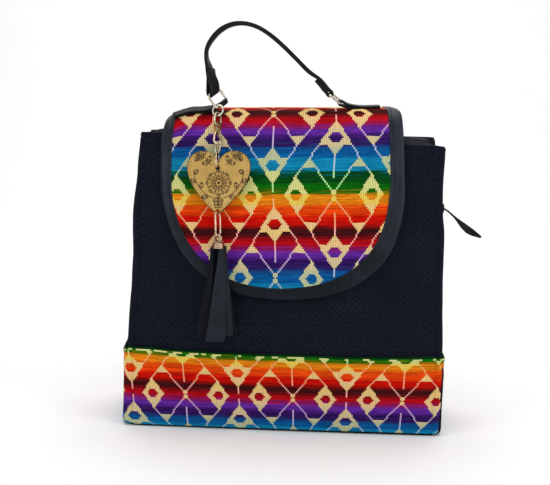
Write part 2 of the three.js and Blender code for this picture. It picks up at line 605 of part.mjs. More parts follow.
// ---------------------------------------------------------------- charm
// An oval link along a direction, in the plane of that direction and a side direction.
function ovalLink(centre, along, side, length, width, radius) {
  const a = along.clone().normalize();
  const b = side.clone().addScaledVector(a, -side.dot(a)).normalize();
  const normal = V().crossVectors(a, b).normalize();
  const half = length / 2 - radius, w = width / 2 - radius;
  const straight = half - w;
  const path = [];
  for (const end of [1, -1]) {
    for (let i = 0; i <= 6; i++) {
      const t = Math.PI * (i / 6);
      path.push(centre.clone().addScaledVector(a, end * (straight + w * Math.sin(t))).addScaledVector(b, end * w * Math.cos(t)));
    }
  }
  return wireLoop(path, normal, radius);
}

// Split ring on the front end of the left ring's bar, leaning forward over the fold of the flap.
{
  const hang = ringLeft.centre.clone().addScaledVector(ringLeft.b, -5.9);
  const up = V(-0.05, 0.4, 0.92).normalize();
  const normal = V(0.3, 0.88, 0);
  normal.addScaledVector(up, -normal.dot(up)).normalize();
  const across = V().crossVectors(normal, up);
  const centre = hang.clone().addScaledVector(up, -(SPLIT_R - SPLIT_WIRE_R - RING_WIRE_R - 1.0));
  const circle = range(18).map((i) => {
    const t = (2 * Math.PI * i) / 18;
    return centre.clone().addScaledVector(across, SPLIT_R * Math.cos(t)).addScaledVector(up, SPLIT_R * Math.sin(t));
  });
  add(flap, 'split_ring', wireLoop(circle, normal, SPLIT_WIRE_R), 'silver');
}

// Chain links from the split ring to the heart; spin is the link's turn about the chain.
const LINK_ROWS = [
  { y: -43.9, z: -8.7, lean: -0.37, spin: 50 },
  { y: -48.0, z: -17.0, lean: -0.46, spin: -42 },
  { y: -51.2, z: -25.8, lean: -0.34, spin: 48 },
  { y: -53.9, z: -34.8, lean: -0.29, spin: -42 },
];
LINK_ROWS.forEach((q, i) => {
  const a = THREE.MathUtils.degToRad(q.spin);
  add(flap, `chain_link_${i + 1}`, ovalLink(V(-61, q.y, q.z), V(0, q.lean, -1), V(Math.sin(a), Math.cos(a), 0), LINK_L, LINK_W, LINK_WIRE_R), 'gold');
});

const HEART = { x: -60.6, y: -59.2, z: -52.5, tilt: THREE.MathUtils.degToRad(10.5), drop: 39.0 };
{
  const s = new THREE.Shape();
  s.moveTo(0.9, 4.7);
  s.bezierCurveTo(2.5, 11, 8, 15.6, 15.5, 15.6);
  s.bezierCurveTo(23.5, 15.6, 29.6, 9.5, 29.6, 0.5);
  s.bezierCurveTo(29.6, -14, 14, -30, 0, -42.4);
  s.bezierCurveTo(-13, -31, -27.5, -14, -27.5, 0);
  s.bezierCurveTo(-27.5, 9, -21.5, 15.6, -13.5, 15.6);
  s.bezierCurveTo(-6.5, 15.6, -1, 11, 0.9, 4.7);
  const outline = new THREE.ExtrudeGeometry(s, { depth: HEART_T, bevelEnabled: false, curveSegments: 7 });
  outline.translate(0, 0, -HEART_T / 2);
  const drill = (z) => {
    const hole = new THREE.CylinderGeometry(HEART_HOLE_R, HEART_HOLE_R, 3 * HEART_T, 12);
    hole.rotateX(Math.PI / 2);
    hole.translate(0, z, 0);
    return hole;
  };
  const plate = cut(outline, drill(0), drill(-HEART.drop));
  plate.rotateX(Math.PI / 2);
  const charm = add(flap, 'heart_charm', plate, 'wood');
  charm.position.set(HEART.x, HEART.y, HEART.z);
  charm.rotation.x = -HEART.tilt;
}
const heartHole = (z) => V(HEART.x, HEART.y + z * Math.sin(HEART.tilt), HEART.z + z * Math.cos(HEART.tilt));

add(flap, 'heart_ring', ovalLink(V(-60.8, -57.2, -45.1), V(0, -0.31, -0.95), V(0.12, 1, 0), 15.8, 8.6, 0.6), 'gold');

const CAP_TOP = V(-60, -72.4, -109.5);
{
  const from = heartHole(-HEART.drop), to = CAP_TOP.clone().add(V(0, 0, -2.5));
  const along = to.clone().sub(from).normalize();
  const centre = from.clone().lerp(to, 0.5);
  const through = V(0.34, 0.94, 0);
  through.addScaledVector(along, -through.dot(along)).normalize();
  add(flap, 'charm_link_lower', ovalLink(centre, along, through, from.distanceTo(to) + 0.6, 11.6, 0.6), 'gold');

  const rows = [
    { r: 0.9, z: 0 }, { r: 1.4, z: -0.8 }, { r: 1.4, z: -4.6 }, { r: 4.4, z: -6.0 }, { r: 5.0, z: -7.2 },
    { r: 5.0, z: -8.4 }, { r: 4.4, z: -9.0 }, { r: CAP_R, z: -10.0 }, { r: CAP_R, z: -15.0 },
  ];
  const outline = [new THREE.Vector2(0, rows[rows.length - 1].z), ...rows.slice().reverse().map((q) => new THREE.Vector2(q.r, q.z)), new THREE.Vector2(0, 0)];
  const bell = new THREE.LatheGeometry(outline, 14);
  bell.rotateX(Math.PI / 2);
  const eye = new THREE.CylinderGeometry(1.05, 1.05, 14, 12);
  eye.applyQuaternion(new THREE.Quaternion().setFromUnitVectors(V(0, 1, 0), through));
  eye.translate(0, 0, -2.15);
  const cap = add(flap, 'tassel_cap', cut(bell, eye), 'gold');
  cap.position.copy(CAP_TOP);
}

// Tassel: the outer form of the gathered strips, flattened and spreading to the foot.
const TASSEL_ROWS = [
  { z: 0, wide: 4.6, deep: 4.4, x: 0, y: 0 }, { z: -8, wide: 5.2, deep: 4.8, x: 0, y: -1.2 },
  { z: -24, wide: 8.0, deep: 6.2, x: 0, y: -4.2 }, { z: -48, wide: 13.0, deep: 7.6, x: -0.5, y: -7.2 },
  { z: -70, wide: 17.0, deep: 8.2, x: -1.2, y: -7.0 }, { z: -TASSEL_LEN, wide: 18.2, deep: 8.0, x: -1.6, y: -6.4 },
];
add(flap, 'tassel', loft(TASSEL_ROWS.map((q) => range(14).map((k) => {
  const a = (2 * Math.PI * k) / 14;
  return V(CAP_TOP.x + q.x + q.wide * Math.cos(a), CAP_TOP.y + q.y + q.deep * Math.sin(a), CAP_TOP.z - 15 - GAP + q.z);
}))), 'leather');

export default bag;
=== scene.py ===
import math

import bpy
import numpy as np
from mathutils import Matrix


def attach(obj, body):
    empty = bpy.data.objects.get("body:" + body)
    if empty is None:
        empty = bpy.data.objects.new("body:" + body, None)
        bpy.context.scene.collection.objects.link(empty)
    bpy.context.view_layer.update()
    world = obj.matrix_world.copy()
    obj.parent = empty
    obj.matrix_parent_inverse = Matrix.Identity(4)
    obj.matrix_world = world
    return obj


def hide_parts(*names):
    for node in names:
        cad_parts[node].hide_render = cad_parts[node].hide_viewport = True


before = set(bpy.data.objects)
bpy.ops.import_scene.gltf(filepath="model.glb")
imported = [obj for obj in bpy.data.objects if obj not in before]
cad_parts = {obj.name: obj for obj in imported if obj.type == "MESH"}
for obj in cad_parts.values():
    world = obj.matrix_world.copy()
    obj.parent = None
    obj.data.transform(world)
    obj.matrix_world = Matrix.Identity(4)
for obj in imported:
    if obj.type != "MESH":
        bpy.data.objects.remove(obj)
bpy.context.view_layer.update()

MM = 0.001
rng = np.random.default_rng(41)


# ------------------------------------------------------------------ camera
def make_camera():
    elevation, roll = math.radians(8.0), math.radians(2.1)
    back = np.array([0.0, -math.cos(elevation), math.sin(elevation)])
    side = np.array([1.0, 0.0, 0.0])
    up = np.cross(back, side)
    right = math.cos(roll) * side + math.sin(roll) * up
    tall = -math.sin(roll) * side + math.cos(roll) * up
    data = bpy.data.cameras.new("camera")
    data.sensor_fit = "HORIZONTAL"
    data.sensor_width = 36.0
    data.lens = 76.0
    data.clip_start, data.clip_end = 0.05, 30.0
    cam = bpy.data.objects.new("camera", data)
    bpy.context.scene.collection.objects.link(cam)
    place = np.array([-13.119, -1101.727, 323.584]) * MM
    cam.matrix_world = Matrix(
        [[right[i], tall[i], back[i], place[i]] for i in range(3)] + [[0, 0, 0, 1]]
    )
    bpy.context.scene.camera = cam


make_camera()


# ------------------------------------------------------------------ small tools
def lerp(a, b, k):
    return a + (b - a) * k


def smooth(k):
    k = np.clip(k, 0.0, 1.0)
    return k * k * (3 - 2 * k)


def unit(v):
    v = np.asarray(v, float)
    n = np.linalg.norm(v, axis=-1, keepdims=True)
    return v / np.where(n < 1e-12, 1.0, n)


def hermite(xs, ys, at):
    """Smooth curve through (xs, ys), read at any places."""
    xs, ys = np.asarray(xs, float), np.asarray(ys, float)
    at = np.clip(np.asarray(at, float), xs[0], xs[-1])
    m = np.empty_like(ys)
    m[1:-1] = (ys[2:] - ys[:-2]) / (xs[2:] - xs[:-2])
    m[0] = (ys[1] - ys[0]) / (xs[1] - xs[0])
    m[-1] = (ys[-1] - ys[-2]) / (xs[-1] - xs[-2])
    i = np.clip(np.searchsorted(xs, at, "right") - 1, 0, len(xs) - 2)
    h = xs[i + 1] - xs[i]
    k = (at - xs[i]) / h
    k2, k3 = k * k, k * k * k
    return (
        (2 * k3 - 3 * k2 + 1) * ys[i]
        + (k3 - 2 * k2 + k) * h * m[i]
        + (3 * k2 - 2 * k3) * ys[i + 1]
        + (k3 - k2) * h * m[i + 1]
    )


def _hash(i, j, seed):
    n = (i * 374761393 + j * 668265263 + seed * 974711) & 0x7FFFFFFF
    n = ((n ^ (n >> 13)) * 1274126177) & 0x7FFFFFFF
    return ((n ^ (n >> 16)) & 0xFFFF) / 65535.0


def noise2(x, y, seed=0):
    """Smooth random height from -1 to 1."""
    x, y = np.broadcast_arrays(np.asarray(x, float), np.asarray(y, float))
    i, j = np.floor(x).astype(np.int64), np.floor(y).astype(np.int64)
    fx, fy = smooth(x - i), smooth(y - j)
    a, b = _hash(i, j, seed), _hash(i + 1, j, seed)
    c, d = _hash(i, j + 1, seed), _hash(i + 1, j + 1, seed)
    return 2 * lerp(lerp(a, b, fx), lerp(c, d, fx), fy) - 1


def fbm(x, y, seed=0, octaves=3):
    total, gain, norm = 0.0, 1.0, 0.0
    for o in range(octaves):
        total = total + gain * noise2(np.asarray(x) * 2**o, np.asarray(y) * 2**o, seed + o)
        norm += gain
        gain *= 0.5
    return total / norm


def srgb(r, g, b):
    c = np.array([r, g, b], float) / 255.0
    return np.where(c <= 0.04045, c / 12.92, ((c + 0.055) / 1.055) ** 2.4)


# ------------------------------------------------------------------ meshes
def build(name, verts, groups, mats, uv=None, colour=None, floats=None, index=None, sharp=55):
    """A mesh object from points in millimetres and arrays of faces. colour holds colours per face, floats are per point."""
    verts = np.asarray(verts, float)
    groups = [np.asarray(g, np.int64) for g in groups if len(g)]
    tri_vol = 0.0
    for g in groups:
        for k in range(1, g.shape[1] - 1):
            a, b, c = verts[g[:, 0]], verts[g[:, k]], verts[g[:, k + 1]]
            tri_vol += np.einsum("ij,ij->", a, np.cross(b, c))
    if tri_vol < 0:
        groups = [g[:, ::-1] for g in groups]
    me = bpy.data.meshes.new(name)
    flat = np.concatenate([g.ravel() for g in groups])
    totals = np.concatenate([np.full(len(g), g.shape[1]) for g in groups])
    starts = np.concatenate([[0], np.cumsum(totals)[:-1]])
    me.vertices.add(len(verts))
    me.vertices.foreach_set("co", (verts * MM).astype(np.float32).ravel())
    me.loops.add(len(flat))
    me.loops.foreach_set("vertex_index", flat.astype(np.int32))
    me.polygons.add(len(totals))
    me.polygons.foreach_set("loop_start", starts.astype(np.int32))
    me.polygons.foreach_set("use_smooth", np.ones(len(totals), bool))
    if index is not None:
        me.polygons.foreach_set("material_index", np.asarray(index, np.int32))
    me.update(calc_edges=True)
    if uv is not None:
        layer = me.uv_layers.new(name="cloth")
        layer.data.foreach_set("uv", (np.asarray(uv, float)[flat] * MM).astype(np.float32).ravel())
    for key, values in (colour or {}).items():
        rgba = np.ones((len(totals), 4), np.float32)
        rgba[:, :3] = values
        layer = me.color_attributes.new(key, "FLOAT_COLOR", "CORNER")
        layer.data.foreach_set("color", np.repeat(rgba, totals, axis=0).ravel())
    for key, values in (floats or {}).items():
        layer = me.attributes.new(key, "FLOAT", "POINT")
        layer.data.foreach_set("value", np.asarray(values, np.float32))
    me.validate()
    if sharp:
        me.set_sharp_from_angle(angle=math.radians(sharp))
    for m in mats if isinstance(mats, (list, tuple)) else [mats]:
        me.materials.append(m)
    obj = bpy.data.objects.new(name, me)
    bpy.context.scene.collection.objects.link(obj)
    return obj


def finish_piece(obj, slot, *nodes):
    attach(obj, "root")
    if nodes:
        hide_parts(*nodes)
    return obj


def normals_of(grid):
    du = np.gradient(grid, axis=1)
    dv = np.gradient(grid, axis=0)
    return unit(np.cross(du, dv))


def thick(outer, inner, keep=None):
    """A closed sheet between two grids of points. Returns points, quads, the kept points and how many quads are the face."""
    rows, cols, _ = outer.shape
    size = rows * cols
    at = np.arange(size).reshape(rows, cols)
    q = np.stack([at[:-1, :-1], at[:-1, 1:], at[1:, 1:], at[1:, :-1]], -1)
    if keep is None:
        keep = np.ones((rows - 1, cols - 1), bool)
    pad = np.zeros((rows + 1, cols + 1), bool)
    pad[1:-1, 1:-1] = keep
    walls = []
    for edge, (r, c) in (((0, 1), (0, 1)), ((1, 2), (1, 2)), ((2, 3), (2, 1)), ((3, 0), (1, 0))):
        beyond = pad[r : r + rows - 1, c : c + cols - 1]
        e = q[keep & ~beyond]
        a, b = e[:, edge[0]], e[:, edge[1]]
        walls.append(np.stack([b, a, a + size, b + size], -1))
    face = q[keep]
    quads = np.concatenate([face, face[:, ::-1] + size, *walls])
    points = np.concatenate([outer.reshape(-1, 3), inner.reshape(-1, 3)])
    used = np.unique(quads)
    back = np.full(len(points), -1, np.int64)
    back[used] = np.arange(len(used))
    return points[used], back[quads], used, len(face)


def sweep(path, frames_a, frames_b, section, closed, scale=None):
    """Points and quads of a section carried along a path. section is (m, 2) along frames_a and frames_b, or one per place."""
    n = len(path)
    sec = np.asarray(section, float)
    if sec.ndim == 2:
        sec = np.broadcast_to(sec, (n, *sec.shape))
    m = sec.shape[1]
    pts = path[:, None, :] + sec[:, :, :1] * frames_a[:, None, :] + sec[:, :, 1:2] * frames_b[:, None, :]
    at = np.arange(n * m).reshape(n, m)
    last = n if closed else n - 1
    i = np.arange(last)
    a = at[i]
    b = at[(i + 1) % n]
    quads = np.stack([a, np.roll(a, -1, 1), np.roll(b, -1, 1), b], -1).reshape(-1, 4)
    groups = [quads]
    if not closed:
        groups += [at[0][::-1][None, :], at[-1][None, :]]
    return pts.reshape(-1, 3), groups


def join(parts):
    """Several (points, groups) as one, groups sorted by their corner count."""
    base, points, by = 0, [], {}
    for p, groups in parts:
        points.append(p)
        for g in groups:
            g = np.asarray(g)
            by.setdefault(g.shape[1], []).append(g + base)
        base += len(p)
    return np.concatenate(points), [np.concatenate(v) for _, v in sorted(by.items())]


def volume_out(points, groups):
    """The same faces, turned so that they point out."""
    vol = 0.0
    for g in groups:
        g = np.asarray(g)
        for k in range(1, g.shape[1] - 1):
            vol += np.einsum("ij,ij->", points[g[:, 0]], np.cross(points[g[:, k]], points[g[:, k + 1]]))
    return (points, groups) if vol >= 0 else (points, [np.asarray(g)[:, ::-1] for g in groups])


# ------------------------------------------------------------------ materials
def material(name):
    m = bpy.data.materials.new(name)
    m.use_nodes = True
    t = m.node_tree
    t.nodes.clear()
    out = t.nodes.new("ShaderNodeOutputMaterial")
    b = t.nodes.new("ShaderNodeBsdfPrincipled")
    t.links.new(b.outputs[0], out.inputs[0])
    return m, t, b


def put(t, kind, links=None, **props):
    n = t.nodes.new(kind)
    for k, v in props.items():
        setattr(n, k, v)
    for k, v in (links or {}).items():
        if isinstance(v, bpy.types.NodeSocket):
            t.links.new(v, n.inputs[k])
        else:
            n.inputs[k].default_value = v
    return n


def calc(t, op, *values):
    return put(t, "ShaderNodeMath", dict(enumerate(values)), operation=op).outputs[0]


def blend(t, fac, a, b, mode="MIX"):
    return put(t, "ShaderNodeMix", {0: fac, 6: a, 7: b}, data_type="RGBA", blend_type=mode).outputs[2]


def ramp(t, fac, stops):
    n = put(t, "ShaderNodeValToRGB", {0: fac})
    e = n.color_ramp.elements
    while len(e) < len(stops):
        e.new(0.5)
    for k, (at, col) in enumerate(stops):
        e[k].position = at
        e[k].color = (*col, 1.0)
    return n.outputs[0]


def remap(t, v, a, b, lo, hi):
    return put(t, "ShaderNodeMapRange", {0: v, 1: a, 2: b, 3: lo, 4: hi}).outputs[0]


def object_noise(t, scale, detail=3.0, stretch=None, rough=0.55):
    co = put(t, "ShaderNodeTexCoord").outputs["Object"]
    if stretch is not None:
        co = put(t, "ShaderNodeMapping", {"Vector": co, "Scale": stretch}).outputs[0]
    return put(t, "ShaderNodeTexNoise", {"Vector": co, "Scale": scale, "Detail": detail, "Roughness": rough}).outputs[0]


def cloth_uv(t):
    co = put(t, "ShaderNodeUVMap", uv_map="cloth").outputs[0]
    xyz = put(t, "ShaderNodeSeparateXYZ", {0: co})
    return co, xyz.outputs[0], xyz.outputs[1]


def bump(t, b, height, strength, distance):
    n = put(t, "ShaderNodeBump", {"Height": height, "Strength": strength, "Distance": distance})
    t.links.new(n.outputs[0], b.inputs["Normal"])


def navy_cloth(name, lift=1.0):
    """Coarse dark cloth: an uneven lattice of small pits between raised threads, with a few paler flecks."""
    m, t, b = material(name)
    co, u, v = cloth_uv(t)
    drift = put(t, "ShaderNodeTexNoise", {"Vector": co, "Scale": 190.0, "Detail": 2.0, "Roughness": 0.5}).outputs[0]
    shift = calc(t, "MULTIPLY", calc(t, "SUBTRACT", drift, 0.5), 0.0048)
    pitch = 2 * math.pi / 0.0054
    a = calc(t, "SINE", calc(t, "MULTIPLY", calc(t, "ADD", u, shift), pitch))
    c = calc(t, "SINE", calc(t, "MULTIPLY", calc(t, "SUBTRACT", v, shift), pitch))
    pits = remap(t, calc(t, "MULTIPLY", a, c), 0.1, 0.85, 0.0, 1.0)
    grain = put(t, "ShaderNodeTexNoise", {"Vector": co, "Scale": 430.0, "Detail": 3.0, "Roughness": 0.65}).outputs[0]
    broad = put(t, "ShaderNodeTexNoise", {"Vector": co, "Scale": 26.0, "Detail": 4.0, "Roughness": 0.6}).outputs[0]
    height = calc(t, "MULTIPLY_ADD", pits, -0.27, grain)
    tone = calc(t, "MULTIPLY_ADD", broad, 0.3, calc(t, "MULTIPLY", height, 0.9))
    col = ramp(t, tone, [
        (0.12, srgb(8, 10, 15) * lift), (0.42, srgb(16, 19, 28) * lift), (0.62, srgb(23, 27, 39) * lift), (0.85, srgb(36, 41, 55) * lift),
    ])
    t.links.new(col, b.inputs["Base Color"])
    t.links.new(remap(t, grain, 0.2, 0.8, 0.75, 0.95), b.inputs["Roughness"])
    b.inputs["Specular IOR Level"].default_value = 0.06
    bump(t, b, height, 0.8, 0.0007)
    return m


def woven(name, rib, thread):
    """Striped weave: crosswise coloured threads, and raised motifs with upright ribs. rib and thread are pitches in metres."""
    m, t, b = material(name)
    co, u, v = cloth_uv(t)
    dye = put(t, "ShaderNodeVertexColor", layer_name="dye").outputs[0]
    near = put(t, "ShaderNodeVertexColor", layer_name="near").outputs[0]
    raised = put(t, "ShaderNodeAttribute", attribute_name="raised").outputs["Fac"]
    long_co = put(t, "ShaderNodeMapping", {"Vector": co, "Scale": (36.0, 780.0, 1.0)}).outputs[0]
    streak = put(t, "ShaderNodeTexNoise", {"Vector": long_co, "Scale": 1.0, "Detail": 2.0, "Roughness": 0.6}).outputs[0]
    far_co = put(t, "ShaderNodeMapping", {"Vector": co, "Location": (3.7, 9.1, 0.0), "Scale": (24.0, 560.0, 1.0)}).outputs[0]
    stray = put(t, "ShaderNodeTexNoise", {"Vector": far_co, "Scale": 1.0, "Detail": 2.0, "Roughness": 0.6}).outputs[0]
    fuzz = put(t, "ShaderNodeTexNoise", {"Vector": co, "Scale": 1400.0, "Detail": 2.0, "Roughness": 0.6}).outputs[0]
    lines = calc(t, "ABSOLUTE", calc(t, "SINE", calc(t, "MULTIPLY", v, math.pi / thread)))
    ribs = calc(t, "ABSOLUTE", calc(t, "SINE", calc(t, "MULTIPLY", u, math.pi / rib)))
    picks = calc(t, "ABSOLUTE", calc(t, "SINE", calc(t, "MULTIPLY", v, math.pi / (2.0 * thread))))
    ground = blend(t, remap(t, stray, 0.5, 0.64, 0.0, 0.8), dye, near)
    flat_tone = calc(t, "MULTIPLY", remap(t, streak, 0.3, 0.72, 0.62, 1.36), calc(t, "MULTIPLY_ADD", lines, 0.2, 0.86))
    rib_tone = calc(t, "MULTIPLY", calc(t, "MULTIPLY_ADD", ribs, 0.5, 0.6), calc(t, "MULTIPLY_ADD", picks, 0.16, calc(t, "MULTIPLY_ADD", fuzz, 0.3, 0.74)))
    tone = calc(t, "ADD", calc(t, "MULTIPLY", flat_tone, calc(t, "SUBTRACT", 1.0, raised)), calc(t, "MULTIPLY", rib_tone, raised))
    grey = put(t, "ShaderNodeCombineColor", {0: tone, 1: tone, 2: tone}).outputs[0]
    t.links.new(blend(t, 1.0, ground, grey, "MULTIPLY"), b.inputs["Base Color"])
    t.links.new(remap(t, fuzz, 0.2, 0.8, 0.66, 0.86), b.inputs["Roughness"])
    b.inputs["Specular IOR Level"].default_value = 0.035
    height = calc(t, "ADD", calc(t, "MULTIPLY", calc(t, "MULTIPLY_ADD", streak, 0.6, lines), calc(t, "SUBTRACT", 1.0, raised)), calc(t, "MULTIPLY", calc(t, "MULTIPLY_ADD", picks, 0.5, calc(t, "MULTIPLY", ribs, 1.5)), raised))
    bump(t, b, height, 0.5, 0.0003)
    return m


def leather(name, dark, pale, rough=(0.36, 0.56), grain=620.0, shine=0.4, painted_shade_below=None):
    """Grained leather. The last argument, if given, is a height range in metres over which painted shade darkens the
    leather and dulls its shine, most at and below the range's foot, where the leather rolls under away from the light.
    """
    m, t, b = material(name)
    broad = object_noise(t, 34.0, 4.0)
    fine = object_noise(t, 900.0, 2.0)
    co = put(t, "ShaderNodeTexCoord").outputs["Object"]
    cells = put(t, "ShaderNodeTexVoronoi", {"Vector": co, "Scale": grain, "Randomness": 1.0}, feature="F1").outputs[0]
    tone = calc(t, "MULTIPLY_ADD", cells, -0.25, calc(t, "MULTIPLY_ADD", fine, 0.3, broad))
    if painted_shade_below:
        # painted shade: from the top of the height range down to its foot the tone drops by up to 0.3 and the specular
        # to 45 %
        height = put(t, "ShaderNodeSeparateXYZ", {0: co}).outputs[2]
        tone = calc(t, "ADD", tone, remap(t, height, painted_shade_below[0], painted_shade_below[1], -0.3, 0.0))
        t.links.new(remap(t, height, painted_shade_below[0], painted_shade_below[1], 0.45 * shine, shine), b.inputs["Specular IOR Level"])
    else:
        b.inputs["Specular IOR Level"].default_value = shine
    t.links.new(ramp(t, tone, [(0.3, dark), (0.95, pale)]), b.inputs["Base Color"])
    t.links.new(remap(t, broad, 0.3, 0.75, rough[0], rough[1]), b.inputs["Roughness"])
    bump(t, b, calc(t, "MULTIPLY_ADD", fine, 0.4, cells), 0.3, 0.0004)
    return m


def metal(name, dark, pale, rough=(0.16, 0.34)):
    m, t, b = material(name)
    broad = object_noise(t, 160.0, 3.0)
    fine = object_noise(t, 1500.0, 2.0)
    t.links.new(ramp(t, broad, [(0.3, dark), (0.7, pale)]), b.inputs["Base Color"])
    b.inputs["Metallic"].default_value = 1.0
    t.links.new(remap(t, fine, 0.25, 0.75, rough[0], rough[1]), b.inputs["Roughness"])
    bump(t, b, broad, 0.12, 0.0004)
    return m


def wood(name):
    """Pale laser-cut wood; the attribute burn darkens the cut edge and the engraved lines."""
    m, t, b = material(name)
    grain = object_noise(t, 1.0, 4.0, stretch=(900.0, 900.0, 70.0))
    broad = object_noise(t, 45.0, 2.0)
    burn = put(t, "ShaderNodeAttribute", attribute_name="burn").outputs["Fac"]
    tone = calc(t, "MULTIPLY_ADD", broad, 0.5, calc(t, "MULTIPLY", grain, 0.6))
    plain = ramp(t, tone, [(0.25, srgb(161, 127, 60)), (0.55, srgb(188, 152, 80)), (0.85, srgb(206, 173, 106))])
    scorched = ramp(t, grain, [(0.2, srgb(36, 19, 7)), (0.8, srgb(74, 43, 16))])
    t.links.new(blend(t, burn, plain, scorched), b.inputs["Base Color"])
    t.links.new(remap(t, grain, 0.2, 0.8, 0.5, 0.7), b.inputs["Roughness"])
    b.inputs["Specular IOR Level"].default_value = 0.3
    bump(t, b, grain, 0.2, 0.0003)
    return m


NAVY = navy_cloth("navy_cloth", 0.84)
LINING = navy_cloth("lining_cloth", 0.8)
WEAVE_FLAP = woven("woven_flap", 0.001506, 0.000956)
WEAVE_BAND = woven("woven_band", 0.001387, 0.000755)
# painted shade darkens the leather edge's lower part, from 215 mm down to 118 mm
LEATHER = leather("leather_edge", srgb(13, 18, 26), srgb(39, 48, 63), (0.36, 0.52), shine=0.25, painted_shade_below=(0.118, 0.215))
STRAP_LEATHER = leather("leather_strap", srgb(7, 9, 10), srgb(21, 24, 26), (0.34, 0.5), 700.0, shine=0.18)
TAB_LEATHER = leather("leather_tab", srgb(7, 8, 11), srgb(19, 22, 27), (0.4, 0.56), 700.0, shine=0.2)
TASSEL = leather("tassel_leather", srgb(15, 19, 26), srgb(36, 43, 53), (0.5, 0.7), 900.0, shine=0.17)
# painted shade: a darker, duller copy of the tassel leather, for the strips at the sides and back
TASSEL_PAINTED_SHADE = leather("tassel_painted_shade", srgb(6, 8, 14), srgb(19, 23, 33), (0.5, 0.7), 900.0, shine=0.09)
THREAD = leather("thread", srgb(6, 7, 10), srgb(16, 18, 24), (0.6, 0.8), 1500.0, shine=0.1)
TAPE = leather("zip_tape", srgb(6, 7, 9), srgb(15, 16, 20), (0.7, 0.9), 1300.0, shine=0.06)
TEETH = leather("zip_teeth", srgb(30, 32, 37), srgb(58, 61, 68), (0.3, 0.45), 900.0, shine=0.4)
RING_METAL = metal("ring_metal", srgb(174, 167, 148), srgb(233, 230, 216), (0.12, 0.28))
DARK_METAL = metal("slider_metal", srgb(16, 17, 19), srgb(34, 35, 38), (0.3, 0.5))
DARK_GOLD = metal("dark_gold", srgb(96, 72, 32), srgb(178, 140, 74), (0.1, 0.26))
SILVER_GOLD = metal("silver_gold", srgb(150, 138, 108), srgb(230, 220, 192), (0.08, 0.22))
PALE_GOLD = metal("pale_gold", srgb(178, 146, 116), srgb(232, 210, 186), (0.12, 0.28))
CAP_GOLD = metal("cap_gold", srgb(146, 112, 84), srgb(214, 186, 158), (0.12, 0.28))
WOOD = wood("heart_wood")

# ------------------------------------------------------------------ woven pattern
DYES = {
    "maroon": srgb(54, 14, 17), "crimson": srgb(172, 8, 18), "purple": srgb(94, 38, 148), "indigo": srgb(44, 18, 84),
    "blue": srgb(8, 82, 144), "sky": srgb(14, 128, 170), "forest": srgb(3, 64, 19), "green": srgb(8, 97, 6),
    "orange": srgb(217, 126, 18), "flame": srgb(221, 65, 8), "red": srgb(193, 13, 3),
}
CREAM = srgb(231, 212, 150)
PALE = srgb(244, 230, 210)
ORDER = ["maroon", "crimson", "purple", "indigo", "blue", "sky", "forest", "green", "orange", "flame", "red"]
RUN = np.array([2.3, 2.9, 3.4, 1.6, 1.2, 1.0, 0.6, 0.6, 0.8, 1.2, 1.2])  # how far each runs into the one before, in mm


def stripe_colours(v, starts, period, seed):
    """Dye by place across the stripes, and the dye of the stray threads there, which come from the nearer neighbour."""
    edges = np.array([*starts, starts[0] + period])
    at = (v - starts[0]) % period + starts[0]
    i = np.clip(np.searchsorted(edges, at, "right") - 1, 0, len(starts) - 1)
    k = (at - edges[i]) / (edges[i + 1] - edges[i])  # 0 to 1 across the stripe
    table = np.array([DYES[n] for n in ORDER])
    low, high = at - edges[i], edges[i + 1] - at
    i = i % len(ORDER)
    after, before = table[(i + 1) % len(ORDER)], table[i - 1]
    turn = np.round(v * 7.3).astype(np.int64)
    # neighbouring dyes shade into each other over a few threads
    col = lerp(table[i] ** 0.5, before**0.5, 0.5 * (1 - smooth(low / RUN[i]))[..., None])
    col = lerp(col, after**0.5, 0.5 * (1 - smooth(high / RUN[(i + 1) % len(ORDER)]))[..., None])
    col = col**2 * (0.88 + 0.26 * _hash(turn, turn * 0 + 9, seed))[..., None]
    side = np.where((k > 0.5)[..., None], after, before)
    close = 0.12 + 0.78 * np.abs(2 * k - 1) ** 1.3
    # green hardly strays into orange
    close = close * np.where((i == ORDER.index("orange")) & (k <= 0.5), 0.4, 1.0)
    # and the dark stripe keeps nearly clear of its bright neighbours
    close = close * np.where(i == 0, 0.45, 1.0)
    return col, lerp(col * 1.12, side, close[..., None])


HALF_U, HALF_V = 60.0, 84.6  # half of the motif's repeat, in its own drawing units


